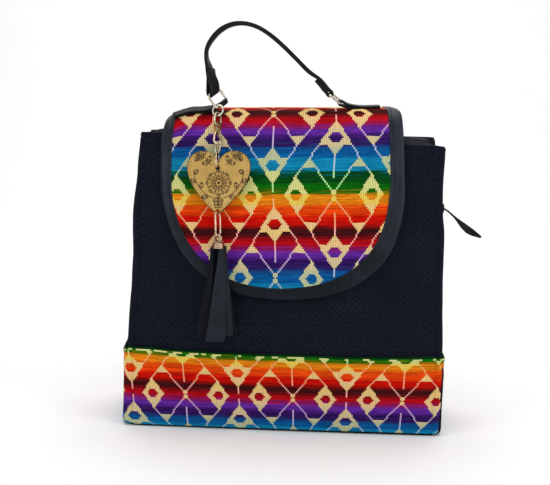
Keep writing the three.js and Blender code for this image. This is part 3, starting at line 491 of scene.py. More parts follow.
def motif(u, v):
    """The repeat of stepped diamonds: 0 ground, 1 thin line, 2 solid figure. u and v are measured from a crossing."""
    u = np.abs((u + HALF_U) % (2 * HALF_U) - HALF_U)
    v = np.abs((v + HALF_V) % (2 * HALF_V) - HALF_V)
    line = np.zeros(u.shape, bool)
    solid = np.zeros(u.shape, bool)
    eye = np.zeros(u.shape, bool)
    for a, b in ((u, v), (HALF_U - u, HALF_V - v)):
        solid |= (b <= 4.6) & (a <= 0.9 + 0.42 * b)

        def stroke(u0, v0, u1, v1, half=0.84):
            k = (b - v0) / (v1 - v0)
            return (k >= -0.02) & (k <= 1.02) & (np.abs(a - lerp(u0, u1, k)) <= half)

        def pupil(c, d, wide, tall):
            spike = (np.abs(c) <= wide) & (d <= 1.2)
            return spike | (np.abs(c) <= 0.76 * wide) & (d <= 0.6 * tall) | (np.abs(c) <= 0.5 * wide) & (d <= tall)

        line |= stroke(2.4, 4.2, 18.6, 27.4)
        line |= stroke(36.4, 18.6, 30.8, 27.4)
        line |= stroke(24.4, 35.0, 15.0, 49.0)
        line |= (a <= 0.84) & (((b >= 15.5) & (b <= 38.5)) | ((b >= 72.0) & (b <= 80.6)))
        solid |= (b >= 26.6) & (b <= 35.8) & (np.abs(a - 24.5) <= 0.8 + 5.8 * (35.8 - b) / 8.4)
        solid |= np.abs(a - 36.8) / 12.0 + b / 19.6 <= 1.0
        eye |= pupil(a - 36.8, b, 6.5, 5.6)
        solid |= (b >= 48.0) & (b <= 73.4) & (a <= 15.6 * (73.4 - b) / 24.4 + 0.4)
        solid |= (b >= 37.5) & (b <= 49.0) & (a <= 0.8 + 7.6 * (b - 37.5) / 11.5)
        eye |= pupil(a, np.abs(b - 54.8), 6.9, 5.6)
    kind = np.where(solid & ~eye, 2, np.where(line & ~eye, 1, 0))
    return kind


def woven_sheet(name, u, v, kind, dye, near, keep, place, raise_mm, depth, mats, fine=2):
    """A sheet made of woven cells. u and v are cell borders; place(u, v, n) gives points at a height n over the face.
    The face has fine x fine quads a cell, the back one quad a cell in the second material."""
    nu, nv = len(u) - 1, len(v) - 1
    fu = np.interp(np.arange(nu * fine + 1) / fine, np.arange(nu + 1), u)
    fv = np.interp(np.arange(nv * fine + 1) / fine, np.arange(nv + 1), v)
    big = np.repeat(np.repeat(kind, fine, 0), fine, 1)
    level = np.where(big == 2, 1.0, np.where(big == 1, 0.8, 0.0)) * raise_mm
    pad = np.pad(level, 1, mode="edge")
    height = (pad[:-1, :-1] + pad[1:, :-1] + pad[:-1, 1:] + pad[1:, 1:]) / 4
    on = np.pad((big > 0).astype(float), 1, mode="edge")
    on = (on[:-1, :-1] + on[1:, :-1] + on[:-1, 1:] + on[1:, 1:]) / 4
    gu, gv = np.meshgrid(fu, fv)
    face = place(gu, gv, height)
    cu, cv = np.meshgrid(u, v)
    under = place(cu, cv, np.full(cu.shape, -depth))
    rows, cols = gu.shape
    at = np.arange(rows * cols).reshape(rows, cols)
    size = rows * cols
    ct = np.arange(cu.size).reshape(cu.shape) + size
    kf = np.repeat(np.repeat(keep, fine, 0), fine, 1)
    q = np.stack([at[:-1, :-1], at[:-1, 1:], at[1:, 1:], at[1:, :-1]], -1)
    top = q[kf]
    cq = np.stack([ct[:-1, :-1], ct[:-1, 1:], ct[1:, 1:], ct[1:, :-1]], -1)
    low = cq[keep][:, ::-1]
    border = np.zeros((nv + 2, nu + 2), bool)
    border[1:-1, 1:-1] = keep
    walls = []
    f = fine
    J, I = np.nonzero(keep)
    for (dj, di), (p, r) in (((-1, 0), ((0, 0), (0, 1))), ((0, 1), ((0, 1), (1, 1))), ((1, 0), ((1, 1), (1, 0))), ((0, -1), ((1, 0), (0, 0)))):
        open_ = ~border[J + 1 + dj, I + 1 + di]
        j, i = J[open_], I[open_]
        ends = [((j + y) * f, (i + x) * f) for y, x in (p, r)]
        along = [at[(ends[0][0] * (f - k) + ends[1][0] * k) // f, (ends[0][1] * (f - k) + ends[1][1] * k) // f] for k in range(f + 1)]
        foot = [ct[j + y, i + x] for y, x in (p, r)]
        walls.append(np.stack([*along[::-1], *foot], -1))
    walls = np.concatenate(walls)
    pts = np.concatenate([face.reshape(-1, 3), under.reshape(-1, 3)])
    uv = np.concatenate([np.stack([gu.ravel(), gv.ravel()], -1), np.stack([cu.ravel(), cv.ravel()], -1)])
    ra = np.concatenate([on.ravel(), np.zeros(cu.size)])
    groups = [top, low, walls]
    used = np.unique(np.concatenate([g.ravel() for g in groups]))
    back = np.full(len(pts), -1, np.int64)
    back[used] = np.arange(len(used))
    plain = np.full((len(low) + len(walls), 3), 0.01)
    colours = {k: np.concatenate([np.repeat(np.repeat(c, fine, 0), fine, 1)[kf], plain]) for k, c in (("dye", dye), ("near", near))}
    index = np.concatenate([np.zeros(len(top), int), np.ones(len(low), int), np.ones(len(walls), int)])
    return build(name, pts[used], [back[g] for g in groups], mats, uv=uv[used], colour=colours, floats={"raised": ra[used]}, index=index)


def cell_dye(kind, ground, stray):
    """Dyes of the cells and of their stray threads; the pale yarn of the figures takes a tint of the stripe below it."""
    hue = ground / np.maximum(ground.max(-1, keepdims=True), 0.03)
    r, g, b = hue[..., :1], hue[..., 1:2], hue[..., 2:]
    gold = np.clip(r * g / 0.31, 0, 1)
    cool = np.clip(b - r, 0, 1) * np.clip(g / 0.3, 0, 1)
    warm = np.clip((ground[..., :1] - 0.4) / 0.15, 0, 1) * (1 - b)
    cream = CREAM * lerp(1.0, 1.15 * hue, 0.18) * np.concatenate([1 - 0.25 * cool, 1 - 0.1 * cool, 1 - 0.65 * gold], -1)
    pale = PALE * lerp(1.0, hue, 0.56) * np.concatenate([1 + 0 * warm, 1 - 0.1 * warm, 1 - 0.5 * warm], -1)
    yarn = np.where((kind == 2)[..., None], cream, pale)
    on = (kind > 0)[..., None]
    return np.where(on, yarn, ground), np.where(on, yarn, stray)


# ------------------------------------------------------------------ body
CORNER_R, BAND_CORNER_R = 7.0, 9.0
BODY_TOP, TOP_EDGE_Z, TOP_RISE = 268.6, 270.9, 8.5
ZIP_Y, ZIP_HALF = 3.0, 6.7
COLS = ("z", "left", "right", "front", "back", "bulgeF", "bulgeB", "bulgeS")
BODY = dict(zip(COLS, np.array([
    (66, -147.0, 146.4, -53.5, 54.0, 12.6, 4.0, 1.0), (84, -146.6, 146.2, -53.0, 53.6, 13.2, 4.5, 1.2),
    (120, -144.6, 144.6, -51.5, 52.6, 13.0, 5.0, 1.6), (158, -143.5, 143.4, -49.5, 51.4, 10.8, 4.5, 1.8),
    (190, -144.8, 142.6, -47.4, 50.3, 8.0, 3.9, 1.55), (206, -144.4, 140.4, -46.4, 49.8, 6.5, 3.5, 1.4),
    (226, -142.2, 139.3, -45.0, 49.2, 4.7, 2.8, 1.05), (240, -141.6, 139.2, -44.0, 48.8, 3.6, 2.2, 0.8),
    (269, -139.6, 140.2, -42.0, 48.0, 1.6, 1.0, 0.2),
]).T))
BAND = dict(zip(COLS, np.array([
    (0, -145.6, 144.8, -53.2, 53.4, 1.2, 0.8, 0.3), (1.6, -148.0, 147.2, -55.4, 55.6, 1.6, 1.0, 0.4),
    (5, -149.3, 148.1, -56.5, 56.8, 2.4, 1.4, 0.5), (28, -149.2, 148.3, -57.0, 57.4, 7.0, 2.6, 0.8),
    (52, -149.6, 148.4, -57.0, 57.4, 11.0, 3.6, 1.0), (75, -150.2, 148.2, -56.8, 57.2, 13.4, 4.4, 1.0),
]).T))


def row_of(table, col, z):
    return hermite(table["z"], table[col], z)


def settle(p):
    """The top of the body leans and sinks a little: lower at the right front, higher at the right back,
    and slack between the front and back corners of both ends."""
    x, y, z = p[..., 0], p[..., 1], p[..., 2]
    high = smooth((z - 200.0) / 65.0)
    lean = lerp(-1.15 - np.where(x > 0, 1.15, 2.0) * x / 140.0, 0.6 + 1.4 * x / 140.0, np.clip((y + 42.0) / 90.0, 0, 1))
    slack = np.where(x > 0, 8.0, 4.5) * smooth((y + 38.0) / 34.0) * (1 - smooth((y - 35.0) / 9.0)) * smooth((np.abs(x) - 126.0) / 13.0)
    corner = 2.4 * smooth((x - 131.0) / 9.0) * (1 - smooth((y + 42.0) / 14.0))
    out = np.array(p, float)
    out[..., 2] += high * (lean - slack - corner)
    return out


def bow(k):
    return 1 - np.abs(2 * np.clip(k, 0, 1) - 1) ** 2.2


def outline(table, radius, side, t, z):
    """Point and plan normal on one side of the body. t runs over the side: 0 to 1 along a front or back panel;
    along a side panel -1 to 0 is the front corner, 0 to 1 the side, 1 to 2 the back corner."""
    left, right = row_of(table, "left", z), row_of(table, "right", z)
    front, back = row_of(table, "front", z), row_of(table, "back", z)
    if side in ("front", "back"):
        sign = -1 if side == "front" else 1
        edge = front if side == "front" else back
        bulge = row_of(table, "bulgeF" if side == "front" else "bulgeB", z)
        x = lerp(left + radius, right - radius, t)
        y = edge + sign * bulge * bow(t)
        slope = -sign * bulge * 2.2 * np.sign(2 * t - 1) * np.abs(2 * t - 1) ** 1.2 * 2 / (right - left - 2 * radius)
        n = np.stack([-sign * slope * 0 + slope * -1 * 0, np.full(x.shape, float(sign)), np.zeros(x.shape)], -1)
        n[..., 0] = -sign * slope
        return np.stack([x, y, z], -1), unit(n)
    sign = -1 if side == "left" else 1
    edge = left if side == "left" else right
    bulge = row_of(table, "bulgeS", z)
    a = np.pi / 2 * np.where(t < 0, t + 1, np.where(t > 1, 2 - t, 1.0))
    k = np.clip(t, 0, 1)
    y0, y1 = front + radius, back - radius
    x = np.where((t < 0) | (t > 1), edge - sign * radius + sign * radius * np.sin(a), edge + sign * bulge * bow(k))
    y = np.where(t < 0, y0 - radius * np.cos(a), np.where(t > 1, y1 + radius * np.cos(a), lerp(y0, y1, k)))
    ny = np.where(t < 0, -np.cos(a), np.where(t > 1, np.cos(a), 0.0))
    return np.stack([x, y, z], -1), np.stack([sign * np.sin(a), ny, np.zeros(x.shape)], -1)


def cloth_relief(side, u, z):
    """Slow waves, soft drag lines and fine unevenness of the body cloth, in millimetres outwards."""
    seed = {"front": 3, "back": 13, "left": 23, "right": 33}[side]
    d = 0.9 * fbm(u / 70.0, z / 60.0, seed, 2)
    d = d + 0.35 * fbm(u / 20.0, z / 26.0, seed + 5, 3)
    lean = (u * 0.62 + z) / 15.0
    d = d + 0.28 * noise2(lean, (u - z * 0.62) / 75.0, seed + 8) * smooth(0.5 + fbm(u / 60.0, z / 60.0, seed + 9, 1))
    d = d + 0.1 * noise2(u / 5.0, z / 5.0, seed + 11)
    return d


def body_panel(side, cols):
    z = np.concatenate([np.linspace(64.0, 262.0, 120), np.linspace(263.0, 270.6, 12)])
    if side in ("front", "back"):
        t = np.linspace(0, 1, cols)
        T, Z = np.meshgrid(t, z)
        P, N = outline(BODY, CORNER_R, side, T, Z)
        u = lerp(-134.0, 134.0, T)
        seam = np.minimum(T, 1 - T) * 268.0
    else:
        # columns follow the zip's two edges, so that its opening is straight
        front, back = row_of(BODY, "front", z) + CORNER_R, row_of(BODY, "back", z) - CORNER_R
        lo, hi = ZIP_Y - ZIP_HALF - 0.4, ZIP_Y + ZIP_HALF + 0.4
        mid = np.concatenate([np.linspace(0, 1, 25)[None, :-1] * ((lo - front) / (back - front))[:, None],
                              ((lo + (hi - lo) * np.linspace(0, 1, 9)[None, :-1] - front[:, None]) / (back - front)[:, None]),
                              ((hi + (back - hi)[:, None] * np.linspace(0, 1, 25)[None, :] - front[:, None]) / (back - front)[:, None])], 1)
        first = np.tile(np.linspace(-1, 0, 10)[:-1], (len(z), 1))
        last = np.tile(np.linspace(1, 2, 10)[1:], (len(z), 1))
        T = np.concatenate([first, mid, last], 1)
        Z = np.tile(z[:, None], (1, T.shape[1]))
        P, N = outline(BODY, CORNER_R, side, T, Z)
        steps = np.linalg.norm(np.diff(P[70], axis=0), axis=1)
        length = np.concatenate([[0], np.cumsum(steps)])
        u = np.tile(length, (len(z), 1))
        seam = np.minimum(u, length[-1] - u)
    d = cloth_relief(side, u, Z) * smooth(seam / 16.0) * smooth((268.0 - Z) / 14.0)
    pucker = noise2(Z / 4.2, seam / 30.0 + (3 if side == "front" else 40), 77)
    d = d - 0.7 * np.exp(-((seam / 1.6) ** 2)) + 0.2 * np.exp(-(((seam - 4.0) / 2.6) ** 2)) * (1 + 0.7 * pucker)
    d = d - 0.4 * np.exp(-(((Z - 266.8) / 0.8) ** 2)) + 0.2 * np.exp(-(((Z - 268.4) / 0.9) ** 2))
    over = np.maximum(0, Z - 268.9)
    d = d - 0.5 * over**2
    # the zip's edges are turned under
    keep = None
    if side in ("left", "right"):
        rim = np.abs(np.abs(P[..., 1] - ZIP_Y) - ZIP_HALF - 0.4)
        d = d + np.where(Z > 197.0, 0.35 * np.exp(-((rim / 2.2) ** 2)), 0.0)
        yc = (P[:-1, :-1, 1] + P[1:, 1:, 1]) / 2
        zc = (Z[:-1, :-1] + Z[1:, 1:]) / 2
        keep = ~((np.abs(yc - ZIP_Y) < ZIP_HALF + 0.3) & (zc > 199.5))
    outer = settle(P + N * d[..., None])
    inner = settle(P - N * 1.7)
    verts, quads, used, _ = thick(outer, inner, keep)
    uv = np.stack([u, Z], -1).reshape(-1, 2)
    uv = np.concatenate([uv, uv])[used]
    obj = build(f"body_{side}", verts, [quads], NAVY, uv=uv)
    finish_piece(obj, "navy_cloth", f"{side}_panel" if side in ("front", "back") else f"side_panel_{side}")
    return obj


for side, cols in (("front", 160), ("back", 110), ("left", 0), ("right", 0)):
    body_panel(side, cols)

# The base band: woven cloth that runs round the foot of the body.
BAND_CROSS_X, BAND_CROSS_Z = 8.7, 33.6
BAND_UNIT_U, BAND_UNIT_V = 99.8 / 120.0, 0.716  # drawing units of the motif in millimetres
BAND_CELL_U, BAND_CELL_V = 99.8 / 72, 0.716 * 169.2 / 80  # one woven cell, across and up
BAND_STARTS = [-45.4, -37.7, -29.5, -21.0, -12.8, -5.6, 7.0, 14.5, 22.7, 29.7, 38.0]
BAND_LO, BAND_HI, BAND_DEPTH = -140.2, 139.3, 96.0
BAND_KNOTS = [-126, -60, 0, 46, 90, 133]
# where the pale thread of the front's upper edge comes to the face
HEM_DASHES = [(-136, -122), (-120, -107), (-102, -94), (-87, -79), (-76, -72), (-66, -57), (-43, -40), (-26, -18), (-12, -6), (2, 17), (32, 40),
              (55, 57), (71, 78), (96, 102), (117, 126), (136, 141)]


def band_threads(u, z):
    """Where a thread of the band lies: the cloth is sewn on a little askew, and is slacker at the left."""
    lean = hermite(BAND_KNOTS, [1.9, 1.5, 1.2, 0.55, -0.3, -0.8], u)
    shift = hermite(BAND_KNOTS, [1.5, 0.2, -0.1, -1.15, 0.4, 1.6], u)
    grow = hermite(BAND_KNOTS, [0.07, 0.067, 0.055, 0.035, 0.02, 0.03], u)
    rise = hermite(BAND_KNOTS, [-0.5, 0.67, 1.15, 0.55, 0.65, -0.3], u)
    free = smooth(z / 8.0) * (1 - smooth((z - 60.0) / 12.0))
    return u + shift + lean * (33.0 - z) / 17.0, z + free * (rise + grow * (z - 40.0))


def cell_borders(lo, hi, start, step):
    """Borders of woven cells counted from start, with cut cells at both ends."""
    k = np.arange(math.ceil((lo + 0.3 - start) / step), math.floor((hi - 0.3 - start) / step) + 1)
    return np.concatenate([[lo], start + step * k, [hi]])


def band_panel(side):
    arc = BAND_CORNER_R * math.pi / 2
    if side in ("front", "back"):
        lo, hi = BAND_LO, BAND_HI
        t_of = lambda u: (u - lo) / (hi - lo)
        unroll = roll = lambda u: u
    else:
        # the cloth runs on round the corner, so the pattern is counted from the front's seam
        lo, hi = -arc, BAND_DEPTH + arc
        t_of = lambda u: np.where(u < 0, u / arc, np.where(u > BAND_DEPTH, 1 + (u - BAND_DEPTH) / arc, u / BAND_DEPTH))
        unroll = (lambda u: BAND_LO - arc - u) if side == "left" else (lambda u: u + BAND_HI + arc)
        roll = (lambda p: BAND_LO - arc - p) if side == "left" else (lambda p: p - BAND_HI - arc)

    def threads(gu, gz):
        if side == "back":
            return np.clip(gu, lo, hi), gz
        p, z = band_threads(unroll(gu), gz)
        return np.clip(roll(p), lo, hi), z

    u = cell_borders(lo - 6.0, hi + 6.0, roll(BAND_CROSS_X) + BAND_CELL_U / 2, BAND_CELL_U)
    v = cell_borders(0.0, 75.4, BAND_CROSS_Z + BAND_CELL_V / 2, BAND_CELL_V)
    cu, cv = np.meshgrid((u[1:] + u[:-1]) / 2, (v[1:] + v[:-1]) / 2)
    kind = motif((unroll(cu) - BAND_CROSS_X) / BAND_UNIT_U, (cv - BAND_CROSS_Z) / BAND_UNIT_V)
    pu, pz = threads(cu, cv)
    wide = np.diff(threads(*np.meshgrid(u, v))[0], axis=1)
    keep = np.maximum(wide[1:], wide[:-1]) > 0.2
    ground, stray = stripe_colours(-lerp(pz, cv, 0.4) + 0.3 * noise2(pu / 40.0, pz / 10.0, 61), BAND_STARTS, 91.9, 5)
    # the upper edge ends in a few dark green threads over a broken pale one; their ground is darkened further, to 0.6
    # of the forest dye, as painted shade in the fold
    hem = (pz > 73.8)[..., None]
    ground, stray = np.where(hem, DYES["forest"] * 0.6, ground), np.where(hem, DYES["forest"], stray)
    pale = noise2(unroll(pu) / 5.0, 0 * pu, 63) > 0.1
    if side == "front":
        pale = np.any([(unroll(pu) > a) & (unroll(pu) < b) for a, b in HEM_DASHES], axis=0)
    kind = np.where(pz > 73.8, 0, np.where(pz > 72.3, np.where(pale, 2, 0), kind))
    # the lowest 1.8 mm of the band is painted dark navy
    dark = pz < 1.8
    if side == "right":
        # painted shade: a narrow dark navy strip runs up the right corner, where the band turns away from the light
        dark = dark | (pu + arc > 6.8) & (pu + arc < 13.4) & (pz < 64.0 + 2.0 * noise2(pu / 3.0, 0 * pu, 64))
    foot = dark[..., None]
    ground, stray = np.where(foot, srgb(6, 16, 26), ground), np.where(foot, srgb(4, 10, 16), stray)
    kind = np.where(dark, 0, kind)
    dye, near = cell_dye(kind, ground, stray)

    def place(gu, gv, n):
        gu, gv = threads(gu, gv)
        P, N = outline(BAND, BAND_CORNER_R, side, t_of(gu), gv)
        seam = np.minimum(gu - lo, hi - gu)
        d = 0.5 * fbm(gu / 55.0, gv / 40.0, 91, 2) * smooth(seam / 14.0)
        d = d - 0.8 * np.exp(-((seam / 1.2) ** 2)) + 0.2 * np.exp(-(((seam - 3.0) / 2.0) ** 2))
        # folded upper edge: a rounded lip over a sewn line, that dips towards the body cloth
        lip = np.maximum(0, gv - 73.0)
        d = d - 0.26 * lip**2 * (n >= 0) + 0.45 * np.exp(-(((gv - 72.4) / 1.9) ** 2)) - 0.3 * np.exp(-(((gv - 69.2) / 0.8) ** 2))
        wave = 0.5 * fbm(gu / 24.0, 0 * gu, 17, 2) * smooth((gv - 64.0) / 9.0)
        if side == "left":
            wave = wave - 2.4 * smooth((gv - 66.0) / 9.0) * smooth((gu + arc - 2.0) / 8.0) * (1 - smooth((gu - 20.0) / 40.0))
        out = P + N * (d + n)[..., None]
        out[..., 2] += wave
        return out

    obj = woven_sheet(f"band_{side}", u, v, kind, dye, near, keep, place, 0.3, 1.9, [WEAVE_BAND, LINING], fine=1 if side == "back" else 2)
    finish_piece(obj, "woven_band", f"base_band_{side}")
    return obj


for side in ("front", "back", "left", "right"):
    band_panel(side)

# Flat bottom with a rounded rim.
ring = []
for side, order in (("front", 1), ("right", 1), ("back", -1), ("left", -1)):
    t = np.linspace(0, 1, 60) if side in ("front", "back") else np.linspace(-1, 2, 50)
    P, N = outline(BAND, BAND_CORNER_R, side, t, np.zeros(len(t)))
    P = P - N * 1.2
    ring.append(P[::order])
ring = np.concatenate(ring)
centre = ring.mean(0)
sections = []
for inset, z in ((1.0, 0.9), (0.996, 0.25), (0.985, 0.0), (0.9, 0.0), (0.5, 0.0), (0.02, 0.0)):
    s = centre + (ring - centre) * inset
    s[:, 2] = z
    sections.append(s)
for inset, z in ((0.02, 2.6), (0.9, 2.6), (1.0, 2.4)):
    s = centre + (ring - centre) * inset
    s[:, 2] = z
    sections.append(s)
grid = np.array(sections)
n, m, _ = grid.shape
at = np.arange(n * m).reshape(n, m)
quads = []
for i in range(n):
    a, b = at[i], at[(i + 1) % n]
    if i == 5:
        continue
    quads.append(np.stack([a, np.roll(a, -1), np.roll(b, -1), b], -1))
caps = [at[5][None, :], at[6][::-1][None, :]]
base_uv = grid.reshape(-1, 3)[:, :2]
base = build("base_panel", grid.reshape(-1, 3), [np.concatenate(quads), *caps], NAVY, uv=base_uv)
finish_piece(base, "navy_cloth", "base_panel")


# ------------------------------------------------------------------ zipped top
def ridge_z(x):
    reach = np.where(np.asarray(x) > 0, 128.0, 136.0)
    return TOP_EDGE_Z + TOP_RISE * np.maximum(0, 1 - (np.abs(x) / reach) ** 2) - 1.0 * smooth((np.asarray(x) - 90.0) / 40.0)


def top_edge_y(x, sign):
    left, right = row_of(BODY, "left", BODY_TOP), row_of(BODY, "right", BODY_TOP)
    base_y = row_of(BODY, "front" if sign < 0 else "back", BODY_TOP)
    bulge = row_of(BODY, "bulgeF" if sign < 0 else "bulgeB", BODY_TOP)
    k = np.clip((x - left - CORNER_R) / (right - left - 2 * CORNER_R), 0, 1)
    over = np.maximum(0, np.maximum(x - (right - CORNER_R), left + CORNER_R - x))
    corner = CORNER_R - np.sqrt(np.maximum(0, CORNER_R**2 - over**2))
    return base_y + sign * bulge * bow(k) - sign * corner


for name, sign in (("front", -1), ("back", 1)):
    xs = np.linspace(-138.9, 139.3, 190)
    # the strip rolls over the edge of the upright panel, then rises to the zip
    roll = [(0.9, -2.1), (0.3, -1.35), (0.05, -0.65), (0.35, -0.15)]
    ks = np.linspace(0.02, 1, 26)
    rows = []
    for inward, drop in roll:
        rows.append(np.stack([xs, top_edge_y(xs, sign) - sign * inward, TOP_EDGE_Z + drop + 0 * xs], -1))
    inner_y = ZIP_Y + sign * (ZIP_HALF + 0.4)
    for k in ks:
        z = TOP_EDGE_Z + (ridge_z(xs) - TOP_EDGE_Z) * math.sin(k * math.pi / 2)
        y = lerp(top_edge_y(xs, sign), inner_y, k)
        sag = 0.6 * fbm(xs / 45.0, k * 3 + 0 * xs, 51 + sign, 2) * math.sin(math.pi * min(1, k))
        lip = 0.5 * math.exp(-(((1 - k) / 0.07) ** 2))
        rows.append(np.stack([xs, y, z + sag + lip], -1))
    outer = np.array(rows)
    inner = outer.copy()
    inner[..., 2] -= 1.7
    inner[:4, :, 1] -= sign * 1.0
    verts, quads, used, _ = thick(settle(outer), settle(inner))
    uv = np.stack([outer[..., 0], np.cumsum(np.concatenate([[0], np.linalg.norm(np.diff(outer[:, 90], axis=0), axis=1)]))[:, None] + 0 * outer[..., 0]], -1).reshape(-1, 2)
    obj = build(f"top_{name}", verts, [quads], NAVY, uv=np.concatenate([uv, uv])[used])
    finish_piece(obj, "navy_cloth", f"top_panel_{name}")


def side_x(z, sign):
    return row_of(BODY, "left" if sign < 0 else "right", z) + sign * row_of(BODY, "bulgeS", z)


def zip_path():
    turn_z, r = TOP_EDGE_Z - 11.0, 11.0
    half = {}
    for sign in (-1, 1):
        z = np.linspace(200.0, turn_z, 30)
        up = np.stack([side_x(z, sign), z], -1)
        a = np.linspace(0, math.pi / 2, 14)[1:]
        cx = float(side_x(turn_z, sign)) - sign * r
        half[sign] = np.concatenate([up, np.stack([cx + sign * r * np.cos(a), turn_z + r * np.sin(a)], -1)])
    x = np.linspace(-118, 118, 90)
    path = np.concatenate([half[-1], np.stack([x, ridge_z(x)], -1), half[1][::-1]])
    d = np.concatenate([[0], np.cumsum(np.linalg.norm(np.diff(path, axis=0), axis=1))])
    s = np.linspace(0, d[-1], int(d[-1] / 1.1))
    return np.stack([np.interp(s, d, path[:, 0]), np.interp(s, d, path[:, 1])], -1), s


flat_path, zip_s = zip_path()
along = unit(np.gradient(flat_path, axis=0))
path3 = np.stack([flat_path[:, 0], np.full(len(flat_path), ZIP_Y), flat_path[:, 1]], -1)
across = np.tile([0.0, 1.0, 0.0], (len(path3), 1))
outward = np.stack([-along[:, 1], 0 * along[:, 0], along[:, 0]], -1)
half = ZIP_HALF - 0.05
# the tape's borders run on beneath the cloth's turned edges
tape = [
    (-half - 1.8, -2.5), (half + 1.8, -2.5), (half + 1.8, -2.0), (half, -2.0), (half, -0.1), (half - 2.2, 0.05),
    (0, -0.1), (-half + 2.2, 0.05), (-half, -0.1), (-half, -2.0), (-half - 1.8, -2.0),
]
points, groups = sweep(path3, across, outward, tape, False)
obj = build("zip_tape", settle(points), groups, TAPE)
finish_piece(obj, "zip_tape", "zip")

# Teeth in two rows that mesh along the middle of the tape.
parts = []
corner = np.array([(x, y, z) for x in (-1, 1) for y in (-1, 1) for z in (-1, 1)], float)
cube = np.array([(0, 1, 3, 2), (4, 6, 7, 5), (0, 4, 5, 1), (2, 3, 7, 6), (0, 2, 6, 4), (1, 5, 7, 3)])
for row in (-1, 1):
    for s in np.arange(2.0 + (0.55 if row > 0 else 0), zip_s[-1] - 2.0, 2.2):
        i = int(np.clip(np.searchsorted(zip_s, s), 1, len(zip_s) - 1))
        c = np.array([np.interp(s, zip_s, path3[:, k]) for k in range(3)])
        a3 = np.array([along[i, 0], 0, along[i, 1]])
        size = np.array([0.55, 1.5, 0.85])
        body = c + row * 0.95 * across[i] + outward[i] * 0.65
        k = corner * size
        k[:, 0] *= np.where(corner[:, 2] > 0, 0.7, 1.0)
        parts.append(volume_out(*[body + k[:, :1] * a3 + k[:, 1:2] * across[i] + k[:, 2:] * outward[i], [cube]]))
points, groups = join(parts)
obj = build("zip_teeth", settle(points), groups, TEETH, sharp=30)
finish_piece(obj, "zip_tape", "zip")


# ------------------------------------------------------------------ flap surface
FLAP_X, FLAP_Z, SKEW = -8.5, 297.5, math.radians(2.2)
FLAP_W, LOW_START, LOW_H, ROUND = 112.0, 95.0, 106.8, 2.34
PROFILE = np.array([
    (56.2, -66), (56.8, -46), (55.8, -28), (47, -9.5), (25, -1.6), (-2, 0), (-22, -0.8), (-33, -4.2),
    (-41, -12), (-46.5, -24), (-51.5, -44), (-57, -70), (-62.5, -100), (-67, -130), (-69.5, -160), (-70, -182),
], float)
WIDTHS = np.array([(-110, 106), (-45, 107), (0, 108), (30, 108.8), (60, 111.2), (95, 112)], float)


def catmull(p, t):
    n = len(p) - 1
    x = np.clip(t, 0, 1) * n
    i = np.minimum(np.floor(x).astype(int), n - 1)
    w = (x - i)[:, None]
    p0, p1 = p[np.maximum(i - 1, 0)], p[i]
    p2, p3 = p[i + 1], p[np.minimum(i + 2, n)]
    v0, v1 = (p2 - p0) / 2, (p3 - p1) / 2
    return (2 * p1 - 2 * p2 + v0 + v1) * w**3 + (-3 * p1 + 3 * p2 - 2 * v0 - v1) * w**2 + v0 * w + p1


_curve = catmull(PROFILE, np.linspace(0, 1, 2401))
_len = np.concatenate([[0], np.cumsum(np.linalg.norm(np.diff(_curve, axis=0), axis=1))])
_len -= _len[np.argmax(_curve[:, 1])]
FLAP_BACK = _len[0] + 1.0


def flap_point(x, s):
    """A point of the flap's face in the flap's own frame; s is measured along the cloth from the crest."""
    x, s = np.broadcast_arrays(np.asarray(x, float), np.asarray(s, float))
    y, z = np.interp(s, _len, _curve[:, 0]), np.interp(s, _len, _curve[:, 1])
    fall = 7.0 * smooth((s - 20) / 120) * (x / FLAP_W) ** 2
    near = smooth(1 - np.maximum(0, np.abs(s - 6) - 22) / 45)
    left = np.where(x < -84, 11.0 * ((-x - 84) / 26) ** 2, 0.0)
    right = np.where(x > 94, 4.0 * ((x - 94) / 16) ** 2, 0.0)
    droop = (left + right) * near
    out = 0.6 * droop * np.clip((s - 6) / 24, -1, 1)
    ease = 0.35 * fbm(x / 60.0, s / 55.0, 71, 2)
    fall = fall + 3.6 * (np.maximum(0, -x - 95) / 18) ** 2 * smooth((s - 30) / 40)
    fall = fall - 1.9 * smooth((-s - 66) / 36)  # the sewn end lies close to the back panel
    return np.stack([x, y + fall - out - ease * smooth((s - 30) / 30), z - droop + ease * (1 - smooth((s - 30) / 30))], -1)


def on_flap(x, s, n):
    d = 0.5
    dx = flap_point(x + d, s) - flap_point(x - d, s)
    ds = flap_point(x, s + d) - flap_point(x, s - d)
    normal = unit(np.cross(ds, dx))
    return flap_point(x, s) + normal * np.asarray(n)[..., None]


def to_world(p):
    p = np.asarray(p, float)
    c, s = math.cos(SKEW), math.sin(SKEW)
    return np.stack([c * p[..., 0] - s * p[..., 2] + FLAP_X, p[..., 1], s * p[..., 0] + c * p[..., 2] + FLAP_Z], -1)


def flap_half(s):
    return hermite(WIDTHS[:, 0], WIDTHS[:, 1], s)


def edge_shift(s):
    """The flap is cut a little askew: its sides stand to the left, its round foot to the right."""
    return lerp(-2.0, 2.2, smooth((s - 85.0) / 75.0))


def right_in(s):
    """How far the right edge is pulled in."""
    return hermite([-10, 27, 53, 80, 106, 134, 150, 175, 200], [-0.4, -0.7, 0.9, 1.0, 1.3, 2.9, 2.9, 1.4, 0.0], s)


def bind_width(x, s):
    """Width of the leather edge: narrow on the left, widest at the lower right."""
    a = np.arctan2(np.maximum(0, s - LOW_START) / LOW_H, np.maximum(1e-6, np.abs(x) / FLAP_W))
    left, right = hermite([0.0, math.pi / 4, math.pi / 2], [10.6, 9.8, 10.8], a), hermite([0.0, 0.22, 0.5, math.pi / 4, math.pi / 2], [13.4, 15.2, 15.0, 14.8, 10.8], a)
    return np.where(x < 0, left, right)


